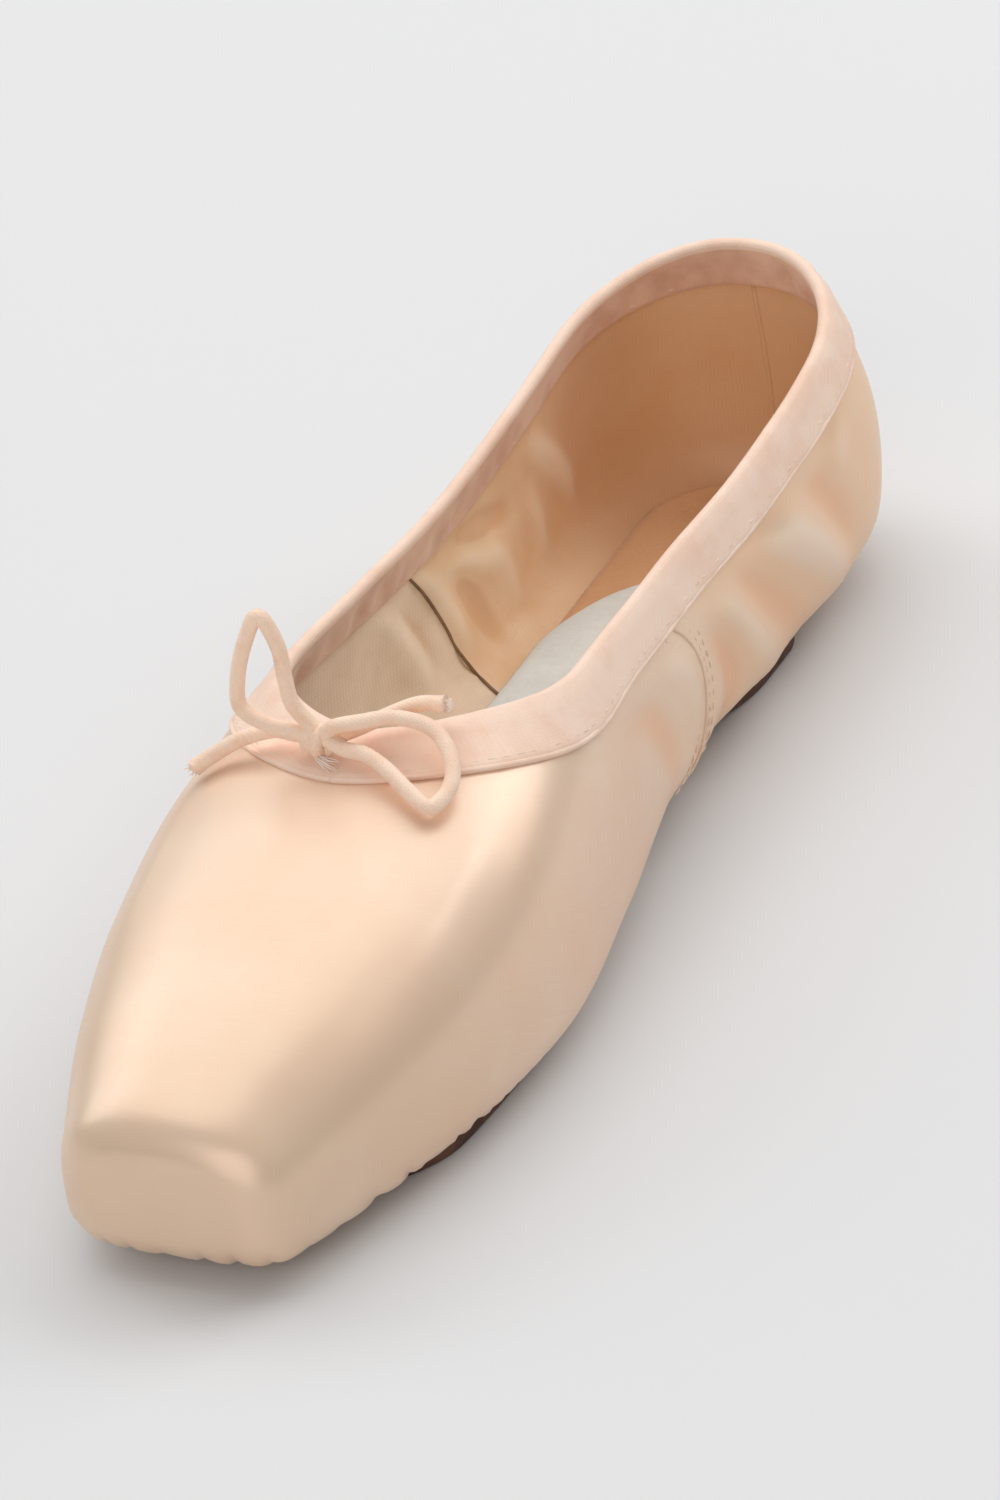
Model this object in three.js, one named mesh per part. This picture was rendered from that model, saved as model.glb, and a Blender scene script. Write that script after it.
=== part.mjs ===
// Pointe shoe, standing empty on its sole. Millimetres, +Z up, toe towards -Y, middle plane at X = 0.
// Distances along the shoe are measured from the toe platform and called "along".
import * as THREE from "three";

// Driving sizes of the last
const SHOE_LENGTH = 238;
const PLATFORM_EDGE = 5.5;
const HEEL_ROUND = 30;
const HEEL_POWER = 2.2;
const VAMP_CENTRE = 100;
const HEEL_CENTRE = 186;

// Driving sizes of the pieces
const BOX_WALL = 2.8;
const QUARTER_WALL = 1.8;
const BOX_END = 62;
const QUARTER_START = 104;
const SEAM_GAP = 0.3;
const TAPE_GAP = 0.4;
const THROAT_CENTRE = 108;
const THROAT_DEPTH = 30;
const THROAT_ACROSS_POWER = 1.7;
const THROAT_ALONG_POWER = 2.2;
const THROAT_BINDING = 9.5;
const SIDE_BINDING = 6.5;
const TAPE = 0.9;
const BEAD_RISE = 2.2;
const BEAD_SWELL = 1.5;
const STRIP_WIDTH = 12;
const STRIP_THICKNESS = 0.8;
const MIDDLE = (SHOE_LENGTH + SEAM_GAP + STRIP_THICKNESS) / 2;
const SOLE_FRONT = 24;
const SOLE_REAR = 204;
const SOLE_FRONT_ROUND = 20;
const SOLE_REAR_ROUND = 15;
const SOLE_BEVEL = 0.9;
const MARGIN = 7;
const INSOLE_THICKNESS = 2.4;
const INSOLE_FRONT = 9;
const INSOLE_REAR = 229;
const CORD = 2.5;

// Mesh steps
const HALF_MERIDIANS = 36;
const WALL_ROWS = 20;
const RAY_STEPS = 160;

// Sections of the last, seen from the front: half width at the widest height, top and bottom on the
// middle plane, and the powers of the rounded upper and lower quarters
const LAST = [
  { along: 0, half: 17.6, top: 26.5, bottom: 3.2, widest: 13.5, roundTop: 2.5, roundBottom: 4.2 },
  { along: 12, half: 22.4, top: 31.0, bottom: 2.8, widest: 13.5, roundTop: 2.5, roundBottom: 4.4 },
  { along: 28, half: 28.2, top: 36.2, bottom: 2.6, widest: 14.5, roundTop: 2.5, roundBottom: 4.6 },
  { along: 50, half: 33.6, top: 42.0, bottom: 2.6, widest: 15.0, roundTop: 2.6, roundBottom: 4.8 },
  { along: 70, half: 35.4, top: 46.8, bottom: 2.6, widest: 15.5, roundTop: 2.7, roundBottom: 4.8 },
  { along: 100, half: 32.0, top: 53.0, bottom: 4.0, widest: 17.0, roundTop: 2.7, roundBottom: 4.6 },
  { along: 125, half: 28.5, top: 55.5, bottom: 6.0, widest: 19.0, roundTop: 2.6, roundBottom: 4.0 },
  { along: 155, half: 27.0, top: 56.5, bottom: 5.0, widest: 21.0, roundTop: 2.4, roundBottom: 3.8 },
  { along: 185, half: 27.8, top: 57.5, bottom: 2.8, widest: 22.0, roundTop: 2.4, roundBottom: 3.8 },
  { along: 211, half: 28.5, top: 59.5, bottom: 2.8, widest: 23.0, roundTop: 2.4, roundBottom: 3.8 },
  { along: 238, half: 28.0, top: 62.0, bottom: 4.0, widest: 23.0, roundTop: 2.4, roundBottom: 3.6 },
];

// How far the back of the heel stands forward of its fullest point, by height
const HEEL_BACK = [
  { height: 0, lean: 10 },
  { height: 6, lean: 4.5 },
  { height: 14, lean: 1 },
  { height: 24, lean: 0 },
  { height: 40, lean: 1.2 },
  { height: 54, lean: 3.6 },
  { height: 90, lean: 12 },
];

// Height of the collar's edge behind the throat
const COLLAR = [
  { along: 100, height: 45.0 },
  { along: 115, height: 44.2 },
  { along: 140, height: 43.0 },
  { along: 165, height: 42.4 },
  { along: 190, height: 43.8 },
  { along: 215, height: 47.4 },
  { along: 238, height: 51.6 },
];

// Half width of the sole before its ends are rounded, and height of its underside
const SOLE = [
  { along: 24, half: 23.0, under: 1.0 },
  { along: 34, half: 25.0, under: 0 },
  { along: 48, half: 27.4, under: 0 },
  { along: 65, half: 28.5, under: 0 },
  { along: 86, half: 26.4, under: 0 },
  { along: 105, half: 19.5, under: 1.5 },
  { along: 125, half: 15.5, under: 3.2 },
  { along: 150, half: 15.5, under: 2.6 },
  { along: 180, half: 20.2, under: 0 },
  { along: 204, half: 20.5, under: 0 },
];

// The bow at the throat: the knot's centre, its half sizes, and the cord's route in each loop and end,
// measured from the knot
const KNOT = { x: -3.2, y: -47.2, z: 51.5 };
const KNOT_SIZE = { x: 4.0, y: 2.9, z: 2.7 };
const KNOT_RIPPLE = 0.12;
const BOW = {
  drawstring_loop_left: [
    { x: -3.6, y: -1.1, z: 1.7 },
    { x: -7.6, y: -1.8, z: 2.9 },
    { x: -11.2, y: -2.4, z: 5.8 },
    { x: -10.8, y: -2.4, z: 11.0 },
    { x: -8.8, y: -2.2, z: 17.0 },
    { x: -5.8, y: -1.7, z: 22.2 },
    { x: -3.6, y: -1.2, z: 17.0 },
    { x: -3.4, y: -1.0, z: 11.0 },
    { x: -3.0, y: -0.8, z: 6.5 },
    { x: -1.0, y: -0.4, z: 3.1 },
  ],
  drawstring_loop_right: [
    { x: 3.3, y: -0.3, z: 2.8 },
    { x: 6.8, y: 1.6, z: 3.0 },
    { x: 11.6, y: 4.2, z: 2.8 },
    { x: 17.0, y: 5.0, z: 1.2 },
    { x: 21.0, y: 2.4, z: -1.4 },
    { x: 22.8, y: -2.0, z: -4.0 },
    { x: 21.4, y: -6.8, z: -5.2 },
    { x: 17.6, y: -5.6, z: -3.8 },
    { x: 12.6, y: -3.0, z: -1.8 },
    { x: 8.4, y: -1.4, z: -0.7 },
    { x: 4.7, y: -0.9, z: -0.6 },
  ],
  drawstring_end_left: [
    { x: -4.2, y: 1.2, z: -0.4 },
    { x: -8.6, y: 1.8, z: -0.6 },
    { x: -13.8, y: 0.4, z: -2.0 },
    { x: -18.8, y: -0.4, z: -5.0 },
    { x: -21.6, y: -1.9, z: -6.8 },
  ],
  drawstring_end_right: [
    { x: 3.4, y: 2.1, z: 0.2 },
    { x: 8.2, y: 6.2, z: 1.2 },
    { x: 13.0, y: 9.2, z: 2.4 },
    { x: 17.5, y: 9.8, z: 2.6 },
  ],
};

const FINISHES = {
  satin: { color: 0xe6c8ae, roughness: 0.42, metalness: 0 },
  tape: { color: 0xf2d3c0, roughness: 0.75, metalness: 0 },
  leather: { color: 0x9c6a4e, roughness: 0.7, metalness: 0 },
  sock: { color: 0xcdcfc8, roughness: 0.85, metalness: 0 },
  cord: { color: 0xf0cdb6, roughness: 0.8, metalness: 0 },
};

const clamp = THREE.MathUtils.clamp;

// A smooth curve through one column of a table, without overshoot
function columnCurve(rows, column, key = "along") {
  const xs = rows.map((row) => row[key]);
  const ys = rows.map((row) => row[column]);
  const rise = xs.slice(1).map((x, i) => (ys[i + 1] - ys[i]) / (x - xs[i]));
  const slope = xs.map((x, i) => {
    const before = rise[Math.max(i - 1, 0)];
    const after = rise[Math.min(i, rise.length - 1)];
    return before * after > 0 ? (2 * before * after) / (before + after) : 0;
  });
  return (at) => {
    const x = clamp(at, xs[0], xs[xs.length - 1]);
    const i = clamp(xs.findIndex((edge) => edge >= x) - 1, 0, rise.length - 1);
    const span = xs[i + 1] - xs[i];
    const t = (x - xs[i]) / span;
    const u = 1 - t;
    const start = ys[i] * (1 + 2 * t) + span * slope[i] * t;
    const finish = ys[i + 1] * (1 + 2 * u) - span * slope[i + 1] * u;
    return start * u * u + finish * t * t;
  };
}

const lastHalf = columnCurve(LAST, "half");
const lastTop = columnCurve(LAST, "top");
const lastBottom = columnCurve(LAST, "bottom");
const lastWidest = columnCurve(LAST, "widest");
const lastRoundTop = columnCurve(LAST, "roundTop");
const lastRoundBottom = columnCurve(LAST, "roundBottom");
const heelLean = columnCurve(HEEL_BACK, "lean", "height");
const collarHeight = columnCurve(COLLAR, "height");
const soleHalfRaw = columnCurve(SOLE, "half");
const soleUnder = columnCurve(SOLE, "under");

function quarterCurve(share, power) {
  return share >= 1 ? -1 : (1 - share ** power) ** (1 / power);
}

// Half width of the last at one place along it and one height, negative outside
function halfWidth(along, z) {
  const nose = PLATFORM_EDGE - clamp(along, 0, PLATFORM_EDGE);
  const edge = PLATFORM_EDGE - Math.sqrt(PLATFORM_EDGE ** 2 - nose ** 2);
  const widest = lastWidest(along);
  const above = z > widest;
  const reach = above ? lastTop(along) - edge - widest : widest - lastBottom(along) - edge;
  const power = above ? lastRoundTop(along) : lastRoundBottom(along);
  const across = quarterCurve(Math.abs(z - widest) / reach, power);
  const back = SHOE_LENGTH - heelLean(z);
  const behind = clamp((along - back + HEEL_ROUND) / HEEL_ROUND, 0, 1);
  const heel = quarterCurve(behind, HEEL_POWER);
  if (along < 0 || across < 0 || heel < 0) return -1;
  return (lastHalf(along) - edge) * across * heel;
}

function wallThickness(along) {
  const share = THREE.MathUtils.smoothstep(along, BOX_END, QUARTER_START);
  return THREE.MathUtils.lerp(BOX_WALL, QUARTER_WALL, share);
}

function bindingDepth(along) {
  const share = THREE.MathUtils.smoothstep(along, THROAT_CENTRE - THROAT_DEPTH, THROAT_CENTRE + 14);
  return THREE.MathUtils.lerp(THROAT_BINDING, SIDE_BINDING, share);
}

function roundedEnd(distance, radius) {
  const left = 1 - clamp(distance / radius, 0, 1);
  return Math.sqrt(1 - left * left);
}

function soleHalf(along) {
  const front = roundedEnd(along - SOLE_FRONT, SOLE_FRONT_ROUND);
  const rear = roundedEnd(SOLE_REAR - along, SOLE_REAR_ROUND);
  return soleHalfRaw(along) * front * rear;
}

// The largest distance for which a test still holds
function furthest(test, limit) {
  let low = 0;
  let high = limit;
  for (let i = 0; i < 44; i += 1) {
    const middle = (low + high) / 2;
    if (test(middle)) low = middle;
    else high = middle;
  }
  return low;
}

// Positive where a point of the last lies inside the foot opening
const throatHalf = halfWidth(THROAT_CENTRE, collarHeight(THROAT_CENTRE));
function overCollar(x, along, z) {
  if (along >= THROAT_CENTRE) return z - collarHeight(along);
  const side = (Math.abs(x) / throatHalf) ** THROAT_ACROSS_POWER;
  const front = ((THROAT_CENTRE - along) / THROAT_DEPTH) ** THROAT_ALONG_POWER;
  return 1 - side - front;
}

// One upright cut through the last, from a base point outwards: its outer line from the collar round
// to the turned-under edge, as points with their distance from the collar
function cutThrough({ x, along, dx, da }, margin = MARGIN) {
  const height = 17;
  const inside = (r, z) => Math.abs(x + dx * r) < halfWidth(along + da * r, z);
  const reach = furthest((r) => inside(r, height), 150);
  const pivot = Math.max(reach - 26, 0.35 * reach);
  const edge = furthest((r) => Math.abs(x + dx * r) < soleHalf(along + da * r), reach) - margin;
  const ray = (angle) => {
    const cos = Math.cos(angle);
    const sin = Math.sin(angle);
    const length = furthest((t) => inside(pivot + t * cos, height + t * sin), 130);
    return { r: pivot + length * cos, z: height + length * sin };
  };
  const point = ({ r, z }) => new THREE.Vector3(x + dx * r, along + da * r, z);
  const open = (angle) => {
    const p = point(ray(angle));
    return overCollar(p.x, p.y, p.z) > 0;
  };
  const turned = (angle) => ray(-angle).r <= edge;
  const first = furthest((angle) => !open(angle), THREE.MathUtils.degToRad(168));
  const last = furthest((angle) => !turned(angle), THREE.MathUtils.degToRad(140));
  const points = [];
  for (let i = 0; i <= RAY_STEPS; i += 1) {
    points.push(point(ray(THREE.MathUtils.lerp(first, -last, i / RAY_STEPS))));
  }
  const distance = [0];
  const turn = [0];
  for (let i = 1; i <= RAY_STEPS; i += 1) {
    distance.push(distance[i - 1] + points[i].distanceTo(points[i - 1]));
    const before = points[i].clone().sub(points[i - 1]);
    const after = points[Math.min(i + 1, RAY_STEPS)].clone().sub(points[i]);
    turn.push(turn[i - 1] + (after.lengthSq() > 0 ? before.angleTo(after) : 0));
  }
  return { points, distance, turn, length: distance[RAY_STEPS] };
}

function interpolate(keys, values, key) {
  const found = keys.findIndex((edge) => edge >= key);
  const i = found < 0 ? keys.length - 1 : Math.max(found, 1);
  const t = clamp((key - keys[i - 1]) / (keys[i] - keys[i - 1] || 1), 0, 1);
  const value = values[i - 1];
  return value.isVector3 ? value.clone().lerp(values[i], t) : THREE.MathUtils.lerp(value, values[i], t);
}

// Half of the plan directions, from the toe's middle round one side to the heel's middle
function planDirection(share) {
  const quarter = Math.PI / 2;
  if (share <= 1) {
    return { x: 0, along: VAMP_CENTRE, dx: Math.sin(share * quarter), da: -Math.cos(share * quarter) };
  }
  if (share >= 2) {
    return { x: 0, along: HEEL_CENTRE, dx: Math.cos((share - 2) * quarter), da: Math.sin((share - 2) * quarter) };
  }
  return { x: 0, along: THREE.MathUtils.lerp(VAMP_CENTRE, HEEL_CENTRE, share - 1), dx: 1, da: 0 };
}

// Cuts spaced evenly round the shoe, closer together where its plan turns
function cutsRoundTheShoe() {
  const trials = 600;
  const shares = [];
  const rims = [];
  for (let i = 0; i <= trials; i += 1) {
    const share = (3 * i) / trials;
    const { along, dx, da } = planDirection(share);
    const reach = furthest((r) => Math.abs(dx * r) < halfWidth(along + da * r, 15), 150);
    shares.push(share);
    rims.push(new THREE.Vector2(dx * reach, along + da * reach));
  }
  const weight = [0];
  for (let i = 1; i <= trials; i += 1) {
    const before = rims[i].clone().sub(rims[i - 1]);
    const after = rims[Math.min(i + 1, trials)].clone().sub(rims[i]);
    const turn = i < trials ? Math.abs(before.cross(after)) / (before.length() * after.length()) : 0;
    weight.push(weight[i - 1] + before.length() + 16 * turn);
  }
  const half = [];
  for (let i = 0; i <= HALF_MERIDIANS; i += 1) {
    const share = interpolate(weight, shares, (weight[trials] * i) / HALF_MERIDIANS);
    half.push(cutThrough(planDirection(share)));
  }
  const mirrored = half.slice(1, -1).reverse().map((cut) => ({
    ...cut,
    points: cut.points.map((p) => new THREE.Vector3(-p.x, p.y, p.z)),
  }));
  return [...half, ...mirrored];
}

// Outward normals of a grid of points, rows of equal length, closed round the shoe or open
function gridNormals(grid, closed) {
  const count = grid.length;
  const pick = (i) => grid[closed ? (i + count) % count : clamp(i, 0, count - 1)];
  return grid.map((row, i) =>
    row.map((p, j) => {
      const round = pick(i + 1)[j].clone().sub(pick(i - 1)[j]);
      const down = row[Math.min(j + 1, row.length - 1)].clone().sub(row[Math.max(j - 1, 0)]);
      return down.cross(round).normalize();
    }),
  );
}

// A closed mesh through sections of equal point count; an open run gets a cap of quads at each end
function loft(sections, closed) {
  const size = sections[0].length;
  const positions = sections.flat().flatMap((p) => [p.x, p.y - MIDDLE, p.z]);
  const faces = [];
  const quad = (a, b, c, d) => faces.push(a, b, c, a, c, d);
  const runs = closed ? sections.length : sections.length - 1;
  for (let i = 0; i < runs; i += 1) {
    const here = i * size;
    const next = ((i + 1) % sections.length) * size;
    for (let j = 0; j < size; j += 1) {
      const k = (j + 1) % size;
      quad(here + j, here + k, next + k, next + j);
    }
  }
  if (!closed) {
    const last = (sections.length - 1) * size;
    for (let j = 0; j < size / 2 - 1; j += 1) {
      const far = size - 1 - j;
      quad(j, far, far - 1, j + 1);
      quad(last + j, last + j + 1, last + far - 1, last + far);
    }
  }
  const geometry = new THREE.BufferGeometry();
  geometry.setAttribute("position", new THREE.Float32BufferAttribute(positions, 3));
  geometry.setIndex(volumeOf(positions, faces) < 0 ? faces.reverse() : faces);
  geometry.computeVertexNormals();
  return geometry;
}

function volumeOf(positions, faces) {
  const corner = (i) => new THREE.Vector3().fromArray(positions, 3 * i);
  let volume = 0;
  for (let i = 0; i < faces.length; i += 3) {
    volume += corner(faces[i]).dot(corner(faces[i + 1]).cross(corner(faces[i + 2]))) / 6;
  }
  return volume;
}

const offset = (point, normal, by) => point.clone().addScaledVector(normal, by);

// Points down a cut from a start distance, closer together where it bends
function rowsDown(cut, start, count) {
  const weight = cut.distance.map((d, i) => d / cut.length + 0.35 * cut.turn[i]);
  const first = interpolate(cut.distance, weight, start);
  const last = weight[weight.length - 1];
  return Array.from({ length: count }, (_, j) =>
    interpolate(weight, cut.points, THREE.MathUtils.lerp(first, last, j / (count - 1))),
  );
}

// The satin shell: outer face from collar to turned-under edge, and the inner face a wall behind it
function upperGeometry(cuts) {
  const grid = cuts.map((cut) => rowsDown(cut, 0, WALL_ROWS));
  const normals = gridNormals(grid, true);
  const sections = grid.map((row, i) => {
    const inner = row.map((p, j) => offset(p, normals[i][j], -wallThickness(p.y)));
    return [...row, ...inner.reverse()];
  });
  return loft(sections, true);
}

// Tape folded over the collar: two legs along the wall and a bead that holds the drawstring
function bindingGeometry(cuts) {
  const grid = cuts.map((cut) => {
    const depth = bindingDepth(cut.points[0].y);
    return [0, 0.5, 1].map((share) => interpolate(cut.distance, cut.points, share * depth));
  });
  const normals = gridNormals(grid, true);
  const sections = grid.map((row, i) => {
    const rise = row[0].clone().sub(row[1]).normalize();
    const outside = (j, out) => offset(row[j], normals[i][j], out);
    const inside = (j, out) => offset(row[j], normals[i][j], -wallThickness(row[j].y) - out);
    const near = TAPE_GAP;
    const far = TAPE_GAP + TAPE;
    const middle = outside(0, 0).add(inside(0, 0)).multiplyScalar(0.5);
    return [
      outside(2, near),
      outside(1, near),
      outside(0, near).addScaledVector(rise, SEAM_GAP),
      inside(0, near).addScaledVector(rise, SEAM_GAP),
      inside(1, near),
      inside(2, near),
      inside(2, far),
      inside(1, far),
      inside(0, BEAD_SWELL).addScaledVector(rise, SEAM_GAP),
      inside(0, BEAD_SWELL * 0.6).addScaledVector(rise, BEAD_RISE * 0.8),
      middle.addScaledVector(rise, BEAD_RISE),
      outside(0, BEAD_SWELL * 0.6).addScaledVector(rise, BEAD_RISE * 0.8),
      outside(0, BEAD_SWELL).addScaledVector(rise, SEAM_GAP),
      outside(1, far),
      outside(2, far),
    ];
  });
  return loft(sections, true);
}

// Strip over the back seam, from under the binding's edge down and below the heel to the sole
function heelStripGeometry() {
  const columns = [-1, -0.5, 0, 0.5, 1].map((share) => (share * STRIP_WIDTH) / 2);
  const rows = 16;
  const grid = columns.map((x) => {
    const cut = cutThrough({ x, along: HEEL_CENTRE, dx: 0, da: 1 }, -1.5 * SEAM_GAP);
    return rowsDown(cut, SIDE_BINDING + SEAM_GAP, rows);
  });
  const normals = gridNormals(grid, false);
  const sections = Array.from({ length: rows }, (_, j) => {
    const face = (out) => columns.map((_, i) => offset(grid[i][j], normals[i][j], out));
    const inner = face(-SEAM_GAP).reverse();
    return [...face(-SEAM_GAP - STRIP_THICKNESS), ...inner];
  });
  return loft(sections, false);
}

// Height of the last's lower face above a point of the floor
function lowerFace(x, along) {
  const middle = lastWidest(along);
  return middle - furthest((drop) => Math.abs(x) < halfWidth(along, middle - drop), middle);
}

// Height of the wall's inner face over the floor: a wall's thickness away from every point below it
function innerFloor(x, along) {
  const wall = wallThickness(along);
  const steps = [-1, -0.7, -0.35, 0, 0.35, 0.7, 1];
  const heights = steps.flatMap((i) =>
    steps.map((j) => {
      const away = i * i + j * j;
      if (away > 1) return 0;
      return lowerFace(x + i * wall, along + j * wall) + wall * Math.sqrt(1 - away);
    }),
  );
  return Math.max(...heights);
}

// Places along a piece, closer together near its ends
function stations(front, rear, count) {
  return Array.from({ length: count }, (_, i) => {
    const share = (1 - Math.cos((Math.PI * i) / (count - 1))) / 2;
    const even = i / (count - 1);
    return THREE.MathUtils.lerp(front, rear, 0.6 * share + 0.4 * even);
  });
}

function outsoleGeometry() {
  const shares = [-1, -0.97, -0.75, -0.4, 0, 0.4, 0.75, 0.97, 1];
  const sections = stations(SOLE_FRONT + 0.25, SOLE_REAR - 0.25, 34).map((along) => {
    const half = soleHalf(along);
    const under = soleUnder(along);
    const across = shares.map((share) => {
      const inset = half - Math.min(SOLE_BEVEL, 0.3 * half);
      return Math.abs(share) === 1 ? share * half : Math.sign(share) * Math.min(Math.abs(share) * half, inset);
    });
    const lower = across.map((x, i) => {
      const lift = Math.abs(shares[i]) === 1 ? SOLE_BEVEL : 0;
      return new THREE.Vector3(x, along, under + lift);
    });
    const upper = across.map((x) => new THREE.Vector3(x, along, lowerFace(x, along) - SEAM_GAP));
    return [...lower, ...upper.reverse()];
  });
  return loft(sections, false);
}

// Sock on its board: rests on the turned-under edge, its thicker middle fills the opening there
function insoleGeometry() {
  const front = SOLE_FRONT + MARGIN + 0.6;
  const rear = SOLE_REAR - MARGIN - 0.6;
  const places = [
    ...stations(INSOLE_FRONT, front, 7),
    ...stations(front, rear, 22).slice(1, -1),
    ...stations(rear, INSOLE_REAR, 8),
  ];
  const inset = MARGIN + 1.5;
  const sections = places.map((along) => {
    const wall = wallThickness(along);
    const side = halfWidth(along, lastBottom(along) + wall + 3.5) - wall;
    const nose = roundedEnd(along - INSOLE_FRONT + 0.5, 6);
    const tail = roundedEnd(INSOLE_REAR + 0.5 - along, 12);
    const half = 0.9 * side * Math.max(nose * tail, 0.2);
    const filled = along > front && along < rear;
    const opening = Math.min(...[-inset, 0, inset].map((step) => soleHalf(along + step))) - inset;
    const room = filled ? Math.min(opening, 0.8 * half) : 0;
    const core = Math.max(room, 1);
    const across = [-half, -0.5 * (half + core), -core - 0.2, -core, 0, core, core + 0.2, 0.5 * (half + core), half];
    const floor = across.map((x) => innerFloor(x, along) + SEAM_GAP);
    const lower = across.map((x, i) => {
      const low = filled && Math.abs(x) <= core && room > 1;
      return new THREE.Vector3(x, along, low ? lowerFace(x, along) + 0.1 : floor[i]);
    });
    const upper = across.map((x, i) => new THREE.Vector3(x, along, floor[i] + INSOLE_THICKNESS));
    return [...lower, ...upper.reverse()];
  });
  return loft(sections, false);
}

// A run of cord along its route
function cordGeometry(route) {
  const path = new THREE.CatmullRomCurve3(route.map(({ x, y, z }) => new THREE.Vector3(x, y, z)));
  const section = new THREE.Shape(new THREE.EllipseCurve(0, 0, CORD / 2, CORD / 2).getPoints(8).slice(0, 8));
  const steps = Math.ceil(path.getLength() / CORD);
  return new THREE.ExtrudeGeometry(section, { steps, extrudePath: path });
}

// The knot: a small lump whose wraps show as ripples round its length
function knotGeometry() {
  const geometry = new THREE.SphereGeometry(1, 16, 10);
  const place = geometry.attributes.position;
  for (let i = 0; i < place.count; i += 1) {
    const p = new THREE.Vector3().fromBufferAttribute(place, i);
    const ripple = 1 - KNOT_RIPPLE * Math.sin(4 * p.x + 2 * p.z) ** 2 * (1 - p.x * p.x);
    p.multiplyScalar(ripple);
    place.setXYZ(i, p.x * KNOT_SIZE.x, p.y * KNOT_SIZE.y, p.z * KNOT_SIZE.z);
  }
  geometry.computeVertexNormals();
  return geometry;
}

function piece(name, geometry, finish) {
  const mesh = new THREE.Mesh(geometry, new THREE.MeshStandardMaterial(FINISHES[finish]));
  mesh.name = name;
  return mesh;
}

const shoe = new THREE.Group();
const cuts = cutsRoundTheShoe();
shoe.add(piece("upper", upperGeometry(cuts), "satin"));
shoe.add(piece("collar_binding", bindingGeometry(cuts), "tape"));
shoe.add(piece("heel_strip", heelStripGeometry(), "satin"));
shoe.add(piece("outsole", outsoleGeometry(), "leather"));
shoe.add(piece("insole", insoleGeometry(), "sock"));

const bow = new THREE.Group();
bow.position.set(KNOT.x, KNOT.y, KNOT.z);
bow.add(piece("drawstring_knot", knotGeometry(), "cord"));
Object.entries(BOW).forEach(([name, route]) => bow.add(piece(name, cordGeometry(route), "cord")));
shoe.add(bow);

export default shoe;
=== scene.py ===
"""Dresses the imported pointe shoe: satin, lining, collar tape, heel strip, leather sole, sock and bow."""

import logging
import math
from collections.abc import Callable, Sequence
from dataclasses import dataclass, field
from enum import Enum
from functools import cached_property

import bpy
import numpy as np
from mathutils import Matrix, Vector

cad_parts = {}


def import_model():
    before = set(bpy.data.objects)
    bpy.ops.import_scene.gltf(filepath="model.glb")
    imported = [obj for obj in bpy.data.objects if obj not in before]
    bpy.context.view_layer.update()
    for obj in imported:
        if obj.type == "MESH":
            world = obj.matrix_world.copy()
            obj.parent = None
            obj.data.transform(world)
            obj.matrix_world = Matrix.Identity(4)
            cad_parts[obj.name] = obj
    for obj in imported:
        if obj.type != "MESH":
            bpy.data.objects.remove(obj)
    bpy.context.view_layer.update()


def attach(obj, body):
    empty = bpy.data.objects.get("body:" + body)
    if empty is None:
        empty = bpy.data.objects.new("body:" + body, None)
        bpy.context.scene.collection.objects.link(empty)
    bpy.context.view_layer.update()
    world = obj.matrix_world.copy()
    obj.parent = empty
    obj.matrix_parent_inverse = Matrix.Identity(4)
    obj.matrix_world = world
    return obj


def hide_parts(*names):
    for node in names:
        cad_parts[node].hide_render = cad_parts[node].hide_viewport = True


Array = np.ndarray
Point = tuple[float, float, float]
Colour = tuple[float, float, float]

LOG = logging.getLogger("pointe_shoe")
BODY = "root"
MM = 0.001


class Side(Enum):
    """A side of the shoe, by the sign of X."""

    NEAR = 1.0
    FAR = -1.0


class Face(Enum):
    """The part of the upper that a fold lies on."""

    NEAR_WALL = "near wall"
    FAR_WALL = "far wall"
    TOP = "top"


def furthest(test: Callable[[Array], Array], limit: float, shape: tuple[int, ...]) -> Array:
    """Finds the largest distance for which a test still holds, for many places at once.

    Args:
        test: says for an array of distances which ones are still inside.
        limit: the largest distance to try.
        shape: the shape of the array of places.

    Returns:
        The distances, in an array of that shape.
    """
    low = np.zeros(shape)
    high = np.full(shape, limit)
    for _ in range(34):
        middle = (low + high) / 2
        inside = test(middle)
        low = np.where(inside, middle, low)
        high = np.where(inside, high, middle)
    return low


def smoothstep(value: Array, start: float, end: float) -> Array:
    """Goes smoothly from 0 at start to 1 at end.

    Args:
        value: the places to read.
        start: where the step begins.
        end: where the step ends, above or below start.

    Returns:
        The step's height at each place.
    """
    share = np.clip((np.asarray(value, float) - start) / (end - start), 0.0, 1.0)
    return share * share * (3 - 2 * share)


def smooth_line(points: Sequence[Sequence[float]], count: int) -> Array:
    """Draws a smooth line through a few points.

    Args:
        points: the points, in order.
        count: how many points the result has, evenly spaced along it.

    Returns:
        The line's points, one row each.
    """
    given = np.asarray(points, float)
    padded = np.vstack([2 * given[0] - given[1], given, 2 * given[-1] - given[-2]])
    parts = []
    for i in range(len(given) - 1):
        a, b, c, d = padded[i:i + 4]
        t = np.linspace(0, 1, 16, endpoint=False)[:, None]
        parts.append(0.5 * (2 * b + (c - a) * t + (2 * a - 5 * b + 4 * c - d) * t**2
                            + (3 * b - a - 3 * c + d) * t**3))
    line = np.vstack([*parts, given[-1:]])
    return resample(line, count)


def run_along(line: Array) -> Array:
    """Measures how far along a line each of its points lies.

    Args:
        line: the points, one row each.

    Returns:
        The distances from the first point.
    """
    return np.r_[0, np.cumsum(np.linalg.norm(np.diff(line, axis=0), axis=1))]


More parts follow.
